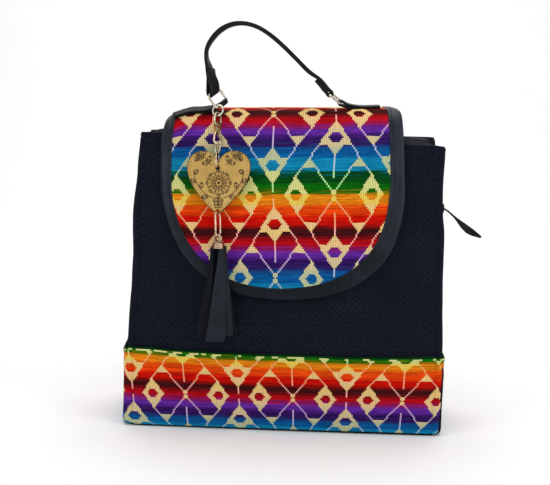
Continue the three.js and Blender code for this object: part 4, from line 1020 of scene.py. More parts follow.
def flap_inside(x, s, under):
    """Whether a place of the weave shows, or lies no deeper than under beneath the leather edge."""
    x = x - edge_shift(s)
    x = np.where(x > 0, x + right_in(s), x)
    inset = bind_width(x, s) - under
    straight = np.abs(x) <= flap_half(s) - inset
    rnd = (np.abs(x) / (FLAP_W - inset)) ** ROUND + (np.maximum(0, s - LOW_START) / (LOW_H - inset)) ** ROUND <= 1
    return np.where(s < LOW_START, straight, rnd) & (s > FLAP_BACK)


FLAP_STARTS = [
    20.4, 32.2, 43.6, 52.5, 63.0, 72.7, 84.5, 95.8, 105.7, 115.7, 125.2,
    135.6, 145.1, 155.2, 163.8, 174.8, 187.2, 197.0, 204.2, 213.4, 223.0, 232.4,
]
FLAP_PERIOD = 222.4
# How far the woven figures stand off a true grid, in millimetres across and down: the hand-set threads pack unevenly.
EASE_X = np.array([-86.0, -42.0, 0.0, 45.0, 88.0])
EASE_S = np.array([44.0, 64.0, 85.0, 105.0, 125.5, 146.0, 166.0, 186.0])
EASE_ACROSS = np.array([
    (-2.2, -0.4, -0.5, 2.3, 3.4), (-2.9, -1.1, -1.5, 1.2, 3.0), (-1.3, -0.3, -1.8, -0.4, 0.9), (0.1, -0.6, -1.2, -0.5, 0.4),
    (1.2, 0.1, 0.0, 0.5, 0.5), (1.3, 1.3, 0.4, 0.2, -0.2), (1.2, 2.6, 0.6, -0.1, 0.0), (-0.5, 2.7, 0.4, -0.6, 0.3),
])
EASE_DOWN = np.array([
    (-0.3, 0.9, 0.6, -1.1, 1.5), (-0.1, 1.3, 1.4, -1.0, 0.8), (0.1, 3.2, 1.8, 0.3, -0.2), (1.8, 3.6, 1.9, 2.4, 1.2),
    (2.6, 3.1, 1.5, 4.0, 2.5), (3.1, 2.4, 1.2, 4.4, 3.0), (2.4, 0.9, 0.5, 3.6, 2.9), (3.2, -0.3, 0.4, 1.9, 1.2),
])


def flap_ease(table, x, s):
    cols = np.array([hermite(EASE_S, c, s) for c in table.T])
    x = np.clip(x, EASE_X[0], EASE_X[-1])
    i = np.clip(np.searchsorted(EASE_X, x, "right") - 1, 0, len(EASE_X) - 2)
    k = smooth((x - EASE_X[i]) / np.diff(EASE_X)[i])
    near, far = np.take_along_axis(cols, i[None], 0)[0], np.take_along_axis(cols, i[None] + 1, 0)[0]
    return lerp(near, far, k)


FLAP_UNIT_U, FLAP_UNIT_V = 108.4 / 120.0, 153.0 / 169.2
FLAP_CROSS_X, FLAP_CROSS_S = 44.4, 104.7
CELL_U, CELL_V = 108.4 / 72, 153.0 / 80


def flap_threads(u, v):
    """Where a thread of the flap lies."""
    return u + flap_ease(EASE_ACROSS, u, v), v + flap_ease(EASE_DOWN, u, v)


def flap_panel():
    i0 = math.floor((-111.0 - FLAP_CROSS_X) / CELL_U)
    i1 = math.ceil((107.0 - FLAP_CROSS_X) / CELL_U)
    j0 = math.floor((FLAP_BACK - 4.0 - FLAP_CROSS_S) / CELL_V)
    j1 = math.ceil((197.0 - FLAP_CROSS_S) / CELL_V)
    u = FLAP_CROSS_X + (np.arange(i0, i1 + 1) + 0.5) * CELL_U
    v = FLAP_CROSS_S + (np.arange(j0, j1 + 1) + 0.5) * CELL_V
    cu, cv = np.meshgrid((u[1:] + u[:-1]) / 2, (v[1:] + v[:-1]) / 2)
    kind = motif((cu - FLAP_CROSS_X) / FLAP_UNIT_U, (cv - FLAP_CROSS_S) / FLAP_UNIT_V)
    x, s = flap_threads(cu, cv)
    rise = 2.0 * smooth((x - 25.0) / 50.0) * (1 - smooth((s - 40.0) / 50.0))
    ground, stray = stripe_colours(s + rise + 0.3 * noise2(x / 45.0, s / 9.0, 62), FLAP_STARTS, FLAP_PERIOD, 7)
    # painted shade on the fold over the crest: its dyes are darkened a little there, by up to 42 %, where it turns away
    # from the light
    crest_shade = (1 - 0.42 * np.exp(-(((s - 16.5) / 4.0) ** 2)))[..., None]
    dye, near = cell_dye(kind, ground * crest_shade, stray * crest_shade)
    # the weave is cut straight and sewn down at its back end
    tall = np.diff(np.maximum(flap_threads(*np.meshgrid(u, v))[1], FLAP_BACK), axis=0)
    keep = flap_inside(x, np.maximum(s, FLAP_BACK + 0.01), 1.9) & (np.maximum(tall[:, 1:], tall[:, :-1]) > 0.2)

    def place(a, b, n):
        x, s = flap_threads(a, b)
        s = np.maximum(s, FLAP_BACK)
        sewn = 1.0 * np.exp(-(((s - FLAP_BACK) / 1.3) ** 2)) + 0.35 * np.exp(-(((s - FLAP_BACK - 4.2) / 0.9) ** 2))
        return to_world(on_flap(x, s, np.where(n >= 0, n - sewn, n)))

    obj = woven_sheet("flap_weave", u, v, kind, dye, near, keep, place, 0.32, 2.0, [WEAVE_FLAP, LINING])
    return finish_piece(obj, "woven_flap", "flap_panel")


FLAP = flap_panel()


# ------------------------------------------------------------------ flap binding
def edge_stations():
    s = np.concatenate([np.linspace(FLAP_BACK, LOW_START, 120)])
    a = np.linspace(0, math.pi / 2, 90)[1:]
    return s, a


def edge_at(inset):
    """Points on the line inset from the flap's edge: left sewn end, round the foot, right sewn end."""
    s, a = edge_stations()
    p = 2 / ROUND
    x1, s1 = flap_half(s) - inset, s
    x2 = (FLAP_W - inset) * np.maximum(0, np.cos(a)) ** p
    s2 = LOW_START + (LOW_H - inset) * np.sin(a) ** p
    x, ss = np.concatenate([x1, x2]), np.concatenate([s1, s2])
    x, ss = np.concatenate([-x, (x - right_in(ss))[-2::-1]]), np.concatenate([ss, ss[-2::-1]])
    return x + edge_shift(ss), ss


def edge_inset(share):
    """Points at a share of the leather edge's width in from the flap's edge, 1 being its inner line."""
    x0, s0 = edge_at(0.0)
    x6, s6 = edge_at(6.0)
    k = np.asarray(share) * bind_width(x0 - edge_shift(s0), s0) / 6.0
    return x0 + (x6 - x0) * k, s0 + (s6 - s0) * k


BIND_SECTION = [
    (13.0, 0.25), (12.8, 0.8), (12.2, 1.05), (10.4, 0.98), (9.9, 0.72), (9.4, 0.98), (8.0, 1.15), (5.5, 1.2), (3.0, 1.0), (1.3, 0.45), (0.4, -0.35), (0.1, -1.2),
    (0.4, -2.0), (1.4, -2.75), (3.5, -3.0), (8.0, -3.0), (11.8, -2.9), (12.6, -2.5), (12.7, -1.9),
]
rings = []
edge_len = np.concatenate([[0], np.cumsum(np.linalg.norm(np.diff(to_world(flap_point(*edge_at(0.0))), axis=0), axis=1))])
for inset, n in BIND_SECTION:
    w = inset + (0.35 * fbm(edge_len / 26.0, 0 * edge_len, 81, 2) if inset > 9 else 0.18 * fbm(edge_len / 32.0, 0 * edge_len, 82, 2))
    x, s = edge_inset(w / 13.0)
    lump = 0.12 * fbm(edge_len / 9.0, inset / 7.0 + 0 * edge_len, 83, 2) * (1.0 if 1 < inset < 12 and n > 0 else 0.4)
    rings.append(to_world(on_flap(x, s, n + lump)))
grid = np.array(rings).transpose(1, 0, 2)
at = np.arange(grid.shape[0] * grid.shape[1]).reshape(grid.shape[:2])
quads = np.stack([at[:-1], np.roll(at[:-1], -1, 1), np.roll(at[1:], -1, 1), at[1:]], -1).reshape(-1, 4)
obj = build("flap_binding", grid.reshape(-1, 3), [quads, at[0][::-1][None], at[-1][None]], LEATHER, sharp=70)
BINDING = finish_piece(obj, "leather", "flap_binding")


def stitches(name, centres, dirs, normals, length, radius, mat, slot, *nodes):
    """Short rounded stitches that dip at both ends."""
    parts = []
    ks = np.linspace(-1, 1, 7)
    ang = np.linspace(0, 2 * math.pi, 7)[:-1]
    for c, d, n in zip(centres, dirs, normals):
        side = np.cross(n, d)
        line = c + d * (ks[:, None] * length / 2) + n * (radius * 0.9 * (1 - ks[:, None] ** 2) - radius * 0.5)
        r = radius * np.sqrt(np.maximum(0.06, 1 - ks**4))
        sec = np.stack([np.cos(ang)[None] * r[:, None], np.sin(ang)[None] * r[:, None]], -1)
        parts.append(volume_out(*sweep(line, np.tile(side, (7, 1)), np.tile(n, (7, 1)), sec, False)))
    points, groups = join(parts)
    return finish_piece(build(name, points, groups, mat, sharp=0), slot, *nodes)


def along_edge(inset, n, pitch):
    x, s = edge_inset(inset / 13.0)
    p, q = to_world(on_flap(x, s, np.full(x.shape, n))), to_world(on_flap(x, s, np.full(x.shape, n + 1.0)))
    d = np.concatenate([[0], np.cumsum(np.linalg.norm(np.diff(p, axis=0), axis=1))])
    at_ = np.arange(pitch, d[-1] - pitch, pitch)
    pick = lambda g: np.stack([np.interp(at_, d, g[:, k]) for k in range(3)], -1)
    c, n_ = pick(p), unit(pick(q) - pick(p))
    t = unit(np.gradient(c, axis=0))
    return c, t, n_


STITCHES = stitches("binding_stitches", *along_edge(9.9, 0.82, 3.0), 2.1, 0.28, THREAD, "leather", "flap_binding")


# ------------------------------------------------------------------ straps
def resample(stations, step):
    p = np.array([q[0] for q in stations], float)
    w = np.array([q[1] for q in stations], float)
    width = np.array([q[2] for q in stations], float)
    t = np.array([q[3] for q in stations], float)
    d = np.concatenate([[0], np.cumsum(np.linalg.norm(np.diff(p, axis=0), axis=1))])
    at_ = np.linspace(0, d[-1], max(8, int(d[-1] / step)))
    P = np.stack([hermite(d, p[:, k], at_) for k in range(3)], -1)
    W = unit(np.stack([np.interp(at_, d, w[:, k]) for k in range(3)], -1))
    return P, W, np.interp(at_, d, width), np.interp(at_, d, t), at_


def strap_section(width, t, seam):
    """A flat leather strip of two layers: soft corners, a slight crown and a fine line where the layers meet."""
    rc = min(0.42 * t, 0.9)
    a = np.linspace(0, math.pi / 2, 4)
    h, v = width / 2, t / 2
    pts = []
    for sx, sy, start in ((1, 1, 0), (-1, 1, 1), (-1, -1, 2), (1, -1, 3)):
        for k in a:
            ang = k + start * math.pi / 2
            pts.append((sx * (h - rc) + rc * math.cos(ang), sy * (v - rc) + rc * math.sin(ang)))
        if start == 0:
            pts += [(h * 0.5, v + 0.05), (0, v + 0.07), (-h * 0.5, v + 0.05)]
        if start == 1:
            pts += [(-h, 0.14 * t), (-h + seam, 0.0), (-h, -0.14 * t)]
        if start == 2:
            pts += [(-h * 0.5, -v - 0.05), (0, -v - 0.07), (h * 0.5, -v - 0.05)]
        if start == 3:
            pts += [(h, -0.14 * t), (h - seam, 0.0), (h, 0.14 * t)]
    return pts


def strap(name, stations, mat, slot, nodes, step=0.9, seam=0.35, wave=0.12, seed=0):
    P, W, width, t, run_ = resample(stations, step)
    along_ = unit(np.gradient(P, axis=0))
    up = unit(np.cross(along_, W))
    across_ = np.cross(up, along_)
    sec = np.array([strap_section(a, b, seam) for a, b in zip(width, t)])
    ang = np.arange(sec.shape[1])
    lump = wave * fbm(run_[:, None] / 7.0, ang[None, :] / 5.0 + seed, 200 + seed, 2)
    sec = sec * (1 + (lump / np.maximum(1.0, np.abs(sec).max(-1)))[..., None])
    # rounded ends
    for k, f in ((0, 0.82), (1, 0.94), (2, 0.985)):
        sec[k] *= (f, 0.9 if k == 0 else 1.0)
        sec[-1 - k] *= (f, 0.9 if k == 0 else 1.0)
    points, groups = sweep(P, across_, up, sec, False)
    obj = build(name, to_world(points), groups, mat, sharp=0)
    return finish_piece(obj, slot, *nodes), (P, W, width, t, along_, up, across_)


V3 = lambda *a: np.array(a, float)
RING_WIRE_R, RING_BAR, RING_H = 1.0, 16.4, 13.6


def ring_frame(centre, bar, hint):
    b = unit(bar)
    up = unit(hint - b * np.dot(hint, b))
    return {"centre": centre, "b": b, "up": up, "normal": unit(np.cross(b, up)), "top": centre + up * RING_H}


RING_L = ring_frame(V3(-57.7, -36, 4.2), V3(0.56, 0.68, 0.44), V3(-0.53, 0, 0.85))
RING_R = ring_frame(V3(51.6, -22, 4.8), V3(0.106, 0.986, 0.127), V3(-11.1, 0, 9.2))
LEFT_WIRE_R = 1.16


def wire(name, path, radius, mat, slot, node, sides=14, normal=None, ripple=None):
    along_ = unit(np.roll(path, -1, 0) - np.roll(path, 1, 0))
    if normal is None:
        normal = unit(np.cross(path[0] - path.mean(0), along_[0]))
    out = unit(np.cross(along_, np.broadcast_to(normal, along_.shape)))
    other = np.cross(out, along_)
    a = np.linspace(0, 2 * math.pi, sides + 1)[:-1]
    sec = radius * np.stack([np.cos(a), np.sin(a)], -1)
    points, groups = sweep(path, out, other, sec, True)
    return finish_piece(build(name, to_world(points), groups, mat, sharp=0), slot, node)


def ring_path(r):
    h, rnd, foot = RING_BAR / 2, 4.0, 1.6
    pts = []
    for cx, cy, rad, start in ((h - foot, foot, foot, -math.pi / 2), (h - rnd, RING_H - rnd, rnd, 0), (-h + rnd, RING_H - rnd, rnd, math.pi / 2), (-h + foot, foot, foot, math.pi)):
        for k in np.linspace(0, math.pi / 2, 12):
            pts.append((cx + rad * math.cos(start + k), cy + rad * math.sin(start + k)))
    pts = np.array(pts + [pts[0]])
    d = np.concatenate([[0], np.cumsum(np.linalg.norm(np.diff(pts, axis=0), axis=1))])
    s = np.linspace(0, d[-1], 121)[:-1]
    u, v = np.interp(s, d, pts[:, 0]), np.interp(s, d, pts[:, 1])
    return r["centre"] + u[:, None] * r["b"] + v[:, None] * r["up"]


wire("d_ring_left", ring_path(RING_L), LEFT_WIRE_R, RING_METAL, "ring_metal", "d_ring_left", normal=RING_L["normal"])
wire("d_ring_right", ring_path(RING_R), RING_WIRE_R, RING_METAL, "ring_metal", "d_ring_right", normal=RING_R["normal"])


def turn_round(centre, side, far, radius, w, width, t, steps=12):
    out = []
    for i in range(steps + 1):
        a = -math.pi / 2 + math.pi * i / steps
        out.append((centre + side * radius * math.sin(a) + far * radius * math.cos(a), w, width, t))
    return out


def ring_tab(name, ring_, mirror, s, slide, rows, node, t=1.5, gap=0.2, lead=0.0):
    """A strip folded round a ring and sewn to the flap. rows: place across the flap, heights of the lower and upper layer,
    how far the strip has turned to the ring, and its thickness there. Its sewn end lies lead nearer to the crest."""
    direction = V3(mirror, 0, 0)
    far = unit(direction - ring_["b"] * np.dot(direction, ring_["b"]))
    side = unit(np.cross(ring_["b"], far))
    if side[2] < 0:
        side = -side
    radius = RING_WIRE_R + gap + t / 2
    flat = unit(on_flap(rows[0][0], s - 2, 0.0) - on_flap(rows[0][0], s + 2, 0.0))

    def layer(col):
        return [(on_flap(q[0], s - lead * (1 - q[3]), q[col]) + ring_["b"] * slide * q[3], unit(lerp(flat, ring_["b"], q[3])), lerp(10.4, 8.0, q[3]), q[4]) for q in rows]

    loop = turn_round(ring_["centre"] + ring_["b"] * slide, side, far, radius, ring_["b"], 8.0, t)
    return strap(name, [*layer(1), *loop, *layer(2)[::-1]], TAB_LEATHER, "leather", (node,), seam=0.1, wave=0.1, seed=3)


ring_tab("ring_tab_left", RING_L, 1, 25, 2.4, [(-101.5, 0.9, 2.3, 0, 1.4), (-86, 0.9, 2.35, 0, 1.45), (-76, 1.0, 2.6, 0.2, 1.5), (-68, 1.7, 3.6, 0.6, 1.6), (-63.5, 3.0, 5.4, 0.9, 1.6)], "ring_tab_left", 1.6)
ring_tab("ring_tab_right", RING_R, -1, 15.5, 0, [(88, 0.8, 2.2, 0, 1.25), (80, 0.8, 2.05, 0.1, 1.2), (71, 0.8, 2.1, 0.35, 1.25), (63, 1.25, 3.2, 0.85, 1.6), (57.5, 2.0, 4.6, 1, 1.9)], "ring_tab_right", 1.9, 0.05, 5.5)

HANDLE = np.array([
    (-67.6, -33.4, 28, 0.3, 2.4), (-69.2, -32.8, 37.5, 0.5, 2.8), (-71.2, -32.0, 46, 0.8, 3.4), (-70.8, -31.4, 54, 1.0, 3.7),
    (-66.2, -30.8, 62.5, 1.0, 4.6), (-58.4, -30.2, 70.6, 1.0, 4.8), (-48.0, -29.6, 75.8, 1.0, 4.3), (-36.0, -29.0, 76.6, 1.0, 3.8),
    (-24.0, -28.2, 73.0, 1.0, 3.7), (-12.0, -27.2, 65.4, 1.0, 3.8), (0.0, -26.0, 55.0, 1.0, 3.8), (11.0, -24.8, 44.2, 1.0, 3.8),
    (21.6, -23.6, 33.6, 1.0, 3.8), (31.5, -22.4, 26.7, 1.0, 3.3), (35.8, -22.2, 22.2, 1.0, 3.4), (38.9, -22.0, 18.3, 1.0, 3.5), (40.5, -22.0, 16.6, 1.0, 3.3),
])
STRAP_W, TAIL_T = 11.6, 2.6
y_axis = V3(0, 1, 0)


def turned(k):
    return unit(lerp(RING_L["b"], y_axis, float(smooth(k))))


loop_r = RING_WIRE_R + 0.05 + TAIL_T / 2
up_l = V3(-0.18, 0, 0.98)
far_l = -unit(up_l - RING_L["b"] * np.dot(up_l, RING_L["b"]))
side_l = unit(np.cross(RING_L["b"], far_l))
if side_l[1] > 0:
    side_l = -side_l
loop_l = turn_round(RING_L["top"], -side_l, far_l, loop_r + 0.16, RING_L["b"], STRAP_W, TAIL_T - 0.3)
tail_l = [(V3(-66.6, -36.2, 36.5), turned(0.42), STRAP_W * 0.9, TAIL_T), (V3(-66.3, -36.8, 29.5), turned(0.36), STRAP_W, TAIL_T), (V3(-64.5, -37.6, 22.5), turned(0.12), STRAP_W, TAIL_T)]
side_r = unit(V3(-0.7, 0, -0.72))
loop_rr = turn_round(RING_R["top"], side_r, -V3(-0.72, 0, 0.7), loop_r, y_axis, STRAP_W, TAIL_T)
tail_r = [(V3(38.2, -22, 14.3), y_axis, STRAP_W, 3.2), (V3(36.4, -22, 16.1), y_axis, STRAP_W, 3.4), (V3(33.3, -22, 20.0), y_axis, STRAP_W, 3.3), (V3(28.4, -22.2, 25.4), y_axis, STRAP_W * 0.94, 2.9)]
knots = np.arange(len(HANDLE))
fine = np.linspace(0, len(HANDLE) - 1, 53)
arch = catmull(HANDLE[:, :3], fine / (len(HANDLE) - 1))
main = [(p, turned(float(np.clip(hermite(knots, HANDLE[:, 3], f), 0, 1))), STRAP_W, float(hermite(knots, HANDLE[:, 4], f))) for p, f in zip(arch, fine)]
handle, HANDLE_FRAME = strap("handle", [*tail_l, *loop_l, *main, *loop_rr, *tail_r], STRAP_LEATHER, "leather", ("handle",), step=0.8, seam=0.5, wave=0.16, seed=9)


# ------------------------------------------------------------------ zip slider and pull
def rounded_box(sections):
    """A body lofted through (centre, a, b, half_a, half_b) with soft corners."""
    ang = np.linspace(0, 2 * math.pi, 21)[:-1]
    c, s = np.cos(ang), np.sin(ang)
    shape = np.stack([np.sign(c) * np.abs(c) ** 0.5, np.sign(s) * np.abs(s) ** 0.5], -1)
    rows = np.array([q[0] + shape[:, :1] * q[3] * q[1] + shape[:, 1:] * q[4] * q[2] for q in sections])
    n, m, _ = rows.shape
    at = np.arange(n * m).reshape(n, m)
    quads = np.stack([at[:-1], np.roll(at[:-1], -1, 1), np.roll(at[1:], -1, 1), at[1:]], -1).reshape(-1, 4)
    return rows.reshape(-1, 3), [quads, at[0][::-1][None], at[-1][None]]


sx = float(side_x(207.0, 1)) + 0.8
X, Y, Z = np.eye(3)
slider = [(200.5, 1.6, 0.7), (200.9, 2.6, 1.3), (203, 3.9, 1.7), (207, 4.2, 1.8), (210, 4.3, 1.75), (212.8, 3.4, 1.4), (213.5, 2.4, 0.8)]
parts = [volume_out(*rounded_box([(V3(sx + 1.8, ZIP_Y, z), Y, X, h, d) for z, h, d in slider]))]
bridge = [(202.2, 0.6), (203.2, 1.0), (207, 1.15), (210.6, 1.0), (211.6, 0.6)]
parts.append(volume_out(*rounded_box([(V3(sx + 3.5 + 0.9 * math.sin(math.pi * k / 4), ZIP_Y, z), Y, X, 1.2, d * 0.5) for k, (z, d) in enumerate(bridge)])))
points, groups = join(parts)
finish_piece(build("zip_slider", points, groups, DARK_METAL, sharp=40), "ring_metal", "zip_slider")

# x, z, width and how far the strip is turned about its own run, in degrees
pull = [
    (145.2, 208.0, 1.7, 0), (150.5, 205.0, 1.7, 0), (157.0, 199.8, 1.9, 5), (161.0, 196.2, 3.2, 10), (166.0, 191.6, 6.0, 18),
    (171.0, 187.6, 7.0, 12), (176.0, 184.6, 6.6, -25), (180.5, 182.4, 5.2, -48), (183.4, 181.0, 3.4, -55), (184.2, 180.6, 1.8, -55),
]


def pull_across(deg):
    k = math.radians(deg)
    return unit(math.cos(k) * V3(0.57, 0, 0.82) + math.sin(k) * V3(0, 1, 0))


P, W, width, t, run_ = resample([(V3(x, ZIP_Y, z), pull_across(a), w, 1.7) for x, z, w, a in pull], 0.6)
al = unit(np.gradient(P, axis=0))
upv = unit(np.cross(al, W))
ac = np.cross(upv, al)
sec = np.array([strap_section(a, b, 0.2) for a, b in zip(width, t)])
for k, f in ((0, 0.8), (1, 0.93)):
    sec[-1 - k] *= f
points, groups = sweep(P, ac, upv, sec, False)
finish_piece(build("zip_pull", points, groups, STRAP_LEATHER, sharp=0), "leather", "zip_pull")

# ------------------------------------------------------------------ charm chain
SPLIT_R, SPLIT_WIRE_R = 5.1, 0.75
hang = RING_L["centre"] - RING_L["b"] * 5.9
up = unit(V3(-0.05, 0.4, 0.92))
normal = V3(0.3, 0.88, 0)
normal = unit(normal - up * np.dot(normal, up))
acr = np.cross(normal, up)
mid = hang - up * (SPLIT_R - SPLIT_WIRE_R - LEFT_WIRE_R)
a = np.linspace(0, 2 * math.pi, 97)[:-1]
parts = []
for off in (-0.36, 0.36):
    path = mid + SPLIT_R * (np.cos(a)[:, None] * acr + np.sin(a)[:, None] * up) + normal * off
    along_ = unit(np.roll(path, -1, 0) - np.roll(path, 1, 0))
    out = unit(np.cross(along_, normal))
    g = np.linspace(0, 2 * math.pi, 13)[:-1]
    sec = np.stack([0.72 * np.cos(g), 0.36 * np.sin(g)], -1)
    parts.append(volume_out(*sweep(path, out, np.tile(normal, (96, 1)), sec, True)))
points, groups = join(parts)
finish_piece(build("split_ring", to_world(points), groups, RING_METAL, sharp=0), "ring_metal", "split_ring")


def oval(centre, al, side, length, width, radius, twist=0.0, n=96):
    a_ = unit(al)
    b_ = unit(side - a_ * np.dot(side, a_))
    nn = unit(np.cross(a_, b_))
    half_, w = length / 2 - radius, width / 2 - radius
    straight = half_ - w
    pts = []
    for end in (1, -1):
        for k in np.linspace(0, math.pi, 20):
            pts.append((end * (straight + w * math.sin(k)), end * w * math.cos(k)))
    pts = np.array(pts + [pts[0]])
    d = np.concatenate([[0], np.cumsum(np.linalg.norm(np.diff(pts, axis=0), axis=1))])
    s = np.linspace(0, d[-1], n + 1)[:-1]
    u, v = np.interp(s, d, pts[:, 0]), np.interp(s, d, pts[:, 1])
    th = twist * u / half_
    return centre + u[:, None] * a_ + (v * np.cos(th))[:, None] * b_ + (v * np.sin(th))[:, None] * nn, nn


CHAIN = [
    (-43.9, -8.9, -0.37, 50, 13.2, 8.8, SILVER_GOLD), (-48.0, -17.1, -0.46, -42, 13.2, 8.8, DARK_GOLD),
    (-51.2, -25.8, -0.34, 48, 12.8, 9.4, PALE_GOLD), (-53.9, -34.8, -0.29, -42, 13.2, 8.8, SILVER_GOLD),
]
for i, (y, z, lean, spin, long_, wide, mat) in enumerate(CHAIN):
    q = math.radians(spin)
    path, nn = oval(V3(-61, y, z), V3(0, lean, -1), V3(math.sin(q), math.cos(q), 0), long_, wide, 0.98, twist=0.3)
    wire(f"chain_link_{i + 1}", path, 0.98, mat, "gold_metal", f"chain_link_{i + 1}", sides=12, normal=nn)
path, nn = oval(V3(-60.8, -57.2, -45.1), V3(0, -0.31, -0.95), V3(0.3, 1, 0), 16.0, 8.8, 0.72)
wire("heart_ring", path, 0.72, PALE_GOLD, "gold_metal", "heart_ring", sides=12, normal=nn)

# ------------------------------------------------------------------ heart
HEART = V3(-60.6, -59.2, -52.5)
TILT = math.radians(10.5)
HEART_T, DROP, HOLE_R = 3.0, 39.0, 1.9


def bezier(p0, p1, p2, p3, n):
    t = np.linspace(0, 1, n + 1)[:-1, None]
    p0, p1, p2, p3 = map(np.array, (p0, p1, p2, p3))
    return (1 - t) ** 3 * p0 + 3 * t * (1 - t) ** 2 * p1 + 3 * t * t * (1 - t) * p2 + t**3 * p3


def heart_outline(n):
    raw = np.concatenate([
        bezier((0.9, 4.7), (2.5, 11), (8, 15.6), (15.5, 15.6), 80), bezier((15.5, 15.6), (23.5, 15.6), (29.6, 9.5), (29.6, 0.5), 80),
        bezier((29.6, 0.5), (29.6, -14), (14, -30), (0, -42.4), 120), bezier((0, -42.4), (-13, -31), (-27.5, -14), (-27.5, 0), 120),
        bezier((-27.5, 0), (-27.5, 9), (-21.5, 15.6), (-13.5, 15.6), 80), bezier((-13.5, 15.6), (-6.5, 15.6), (-1, 11), (0.9, 4.7), 80),
    ])
    loop = np.concatenate([raw, raw[:1]])
    d = np.concatenate([[0], np.cumsum(np.linalg.norm(np.diff(loop, axis=0), axis=1))])
    s = np.linspace(0, d[-1], n + 1)[:-1]
    return np.stack([np.interp(s, d, loop[:, 0]), np.interp(s, d, loop[:, 1])], -1)


def leaf(x, y, angle, length, width, veins=0):
    k = np.linspace(0, 1, 14)
    half_ = width * np.sin(math.pi * k) ** 0.8
    c, s = math.cos(angle), math.sin(angle)
    turn = lambda u, v: np.stack([x + c * u - s * v, y + s * u + c * v], -1)
    out = [turn(length * k, half_), turn(length * k, -half_), turn(np.array([0, length * 0.85]), np.zeros(2))]
    for j in range(veins):
        f = 0.25 + 0.5 * j / max(1, veins - 1)
        for sg in (1, -1):
            out.append(turn(np.array([length * f, length * (f + 0.16)]), np.array([0, sg * width * 0.62])))
    return out


def ring_line(x, y, r, n=28):
    k = np.linspace(0, 2 * math.pi, n + 1)
    return np.stack([x + r * np.cos(k), y + r * np.sin(k)], -1)


def engraving():
    """A flower in the middle, a curved sprig in each lobe, a vine up each side, leaves to the tip and a row of dots inside the edge."""
    lines, dots = [], []
    fx, fy = 1.0, -13.6
    lines += [ring_line(fx, fy, 3.1)]
    dots.append((fx, fy, 1.3))
    for k in range(8):
        ang = math.radians(90 + 45 * k)
        lines += leaf(fx + 3.3 * math.cos(ang), fy + 3.3 * math.sin(ang), ang, 8.4, 2.9, 2)
        dots.append((fx + 10.4 * math.cos(ang + 0.39), fy + 10.4 * math.sin(ang + 0.39), 0.75))
    k = np.linspace(0, 1, 24)
    for sg in (1, -1):
        # sprig in the lobe
        sx_ = 1.0 + sg * (6.0 + 14.0 * k**0.8)
        sy_ = 2.5 + 9.0 * np.sin(k * 2.0)
        lines.append(np.stack([sx_, sy_], -1))
        for f in (0.16, 0.5, 0.82):
            i = int(f * 22)
            along_ = math.atan2(sy_[i + 1] - sy_[i], sx_[i + 1] - sx_[i])
            for turn_ in (0.95, -0.95):
                lines += leaf(sx_[i], sy_[i], along_ + turn_ * sg, 6.4, 2.0, 2)
        # vine up the side
        vx = 1.0 + sg * (4.5 + 18.0 * np.sin(k * 1.5))
        vy = -27.0 + 24.5 * k**1.5
        lines.append(np.stack([vx, vy], -1))
        for j, f in enumerate((0.22, 0.5, 0.76, 0.97)):
            i = int(f * 22)
            along_ = math.atan2(vy[i + 1] - vy[i], vx[i + 1] - vx[i])
            lines += leaf(vx[i], vy[i], along_ + (0.85 if j % 2 else -0.85) * sg, 6.6 - 0.5 * j, 1.9, 2)
    lines.append(np.stack([np.full(8, 0.5), np.linspace(-25.6, -36.0, 8)], -1))
    for j, y in enumerate((-26.6, -30.2, -33.4)):
        for sg in (1, -1):
            lines += leaf(0.5, y, -math.pi / 2 + sg * 0.9, 5.8 - 1.1 * j, 1.5, 0)
    c = np.array([1.0, -9.0])
    for p in heart_outline(58):
        q = p + (c - p) / np.linalg.norm(c - p) * 2.3
        dots.append((q[0], q[1], 0.42))
    return lines, dots


def line_distance(px, py, lines):
    best = np.full(px.shape, 9.0)
    for ln in lines:
        for (x1, y1), (x2, y2) in zip(ln[:-1], ln[1:]):
            lo_x, hi_x, lo_y, hi_y = min(x1, x2) - 1, max(x1, x2) + 1, min(y1, y2) - 1, max(y1, y2) + 1
            m_ = np.nonzero((px > lo_x) & (px < hi_x) & (py > lo_y) & (py < hi_y))[0]
            if len(m_) == 0:
                continue
            dx, dy = x2 - x1, y2 - y1
            k = np.clip(((px[m_] - x1) * dx + (py[m_] - y1) * dy) / max(1e-9, dx * dx + dy * dy), 0, 1)
            d = np.hypot(px[m_] - x1 - k * dx, py[m_] - y1 - k * dy)
            best[m_] = np.minimum(best[m_], d)
    return best


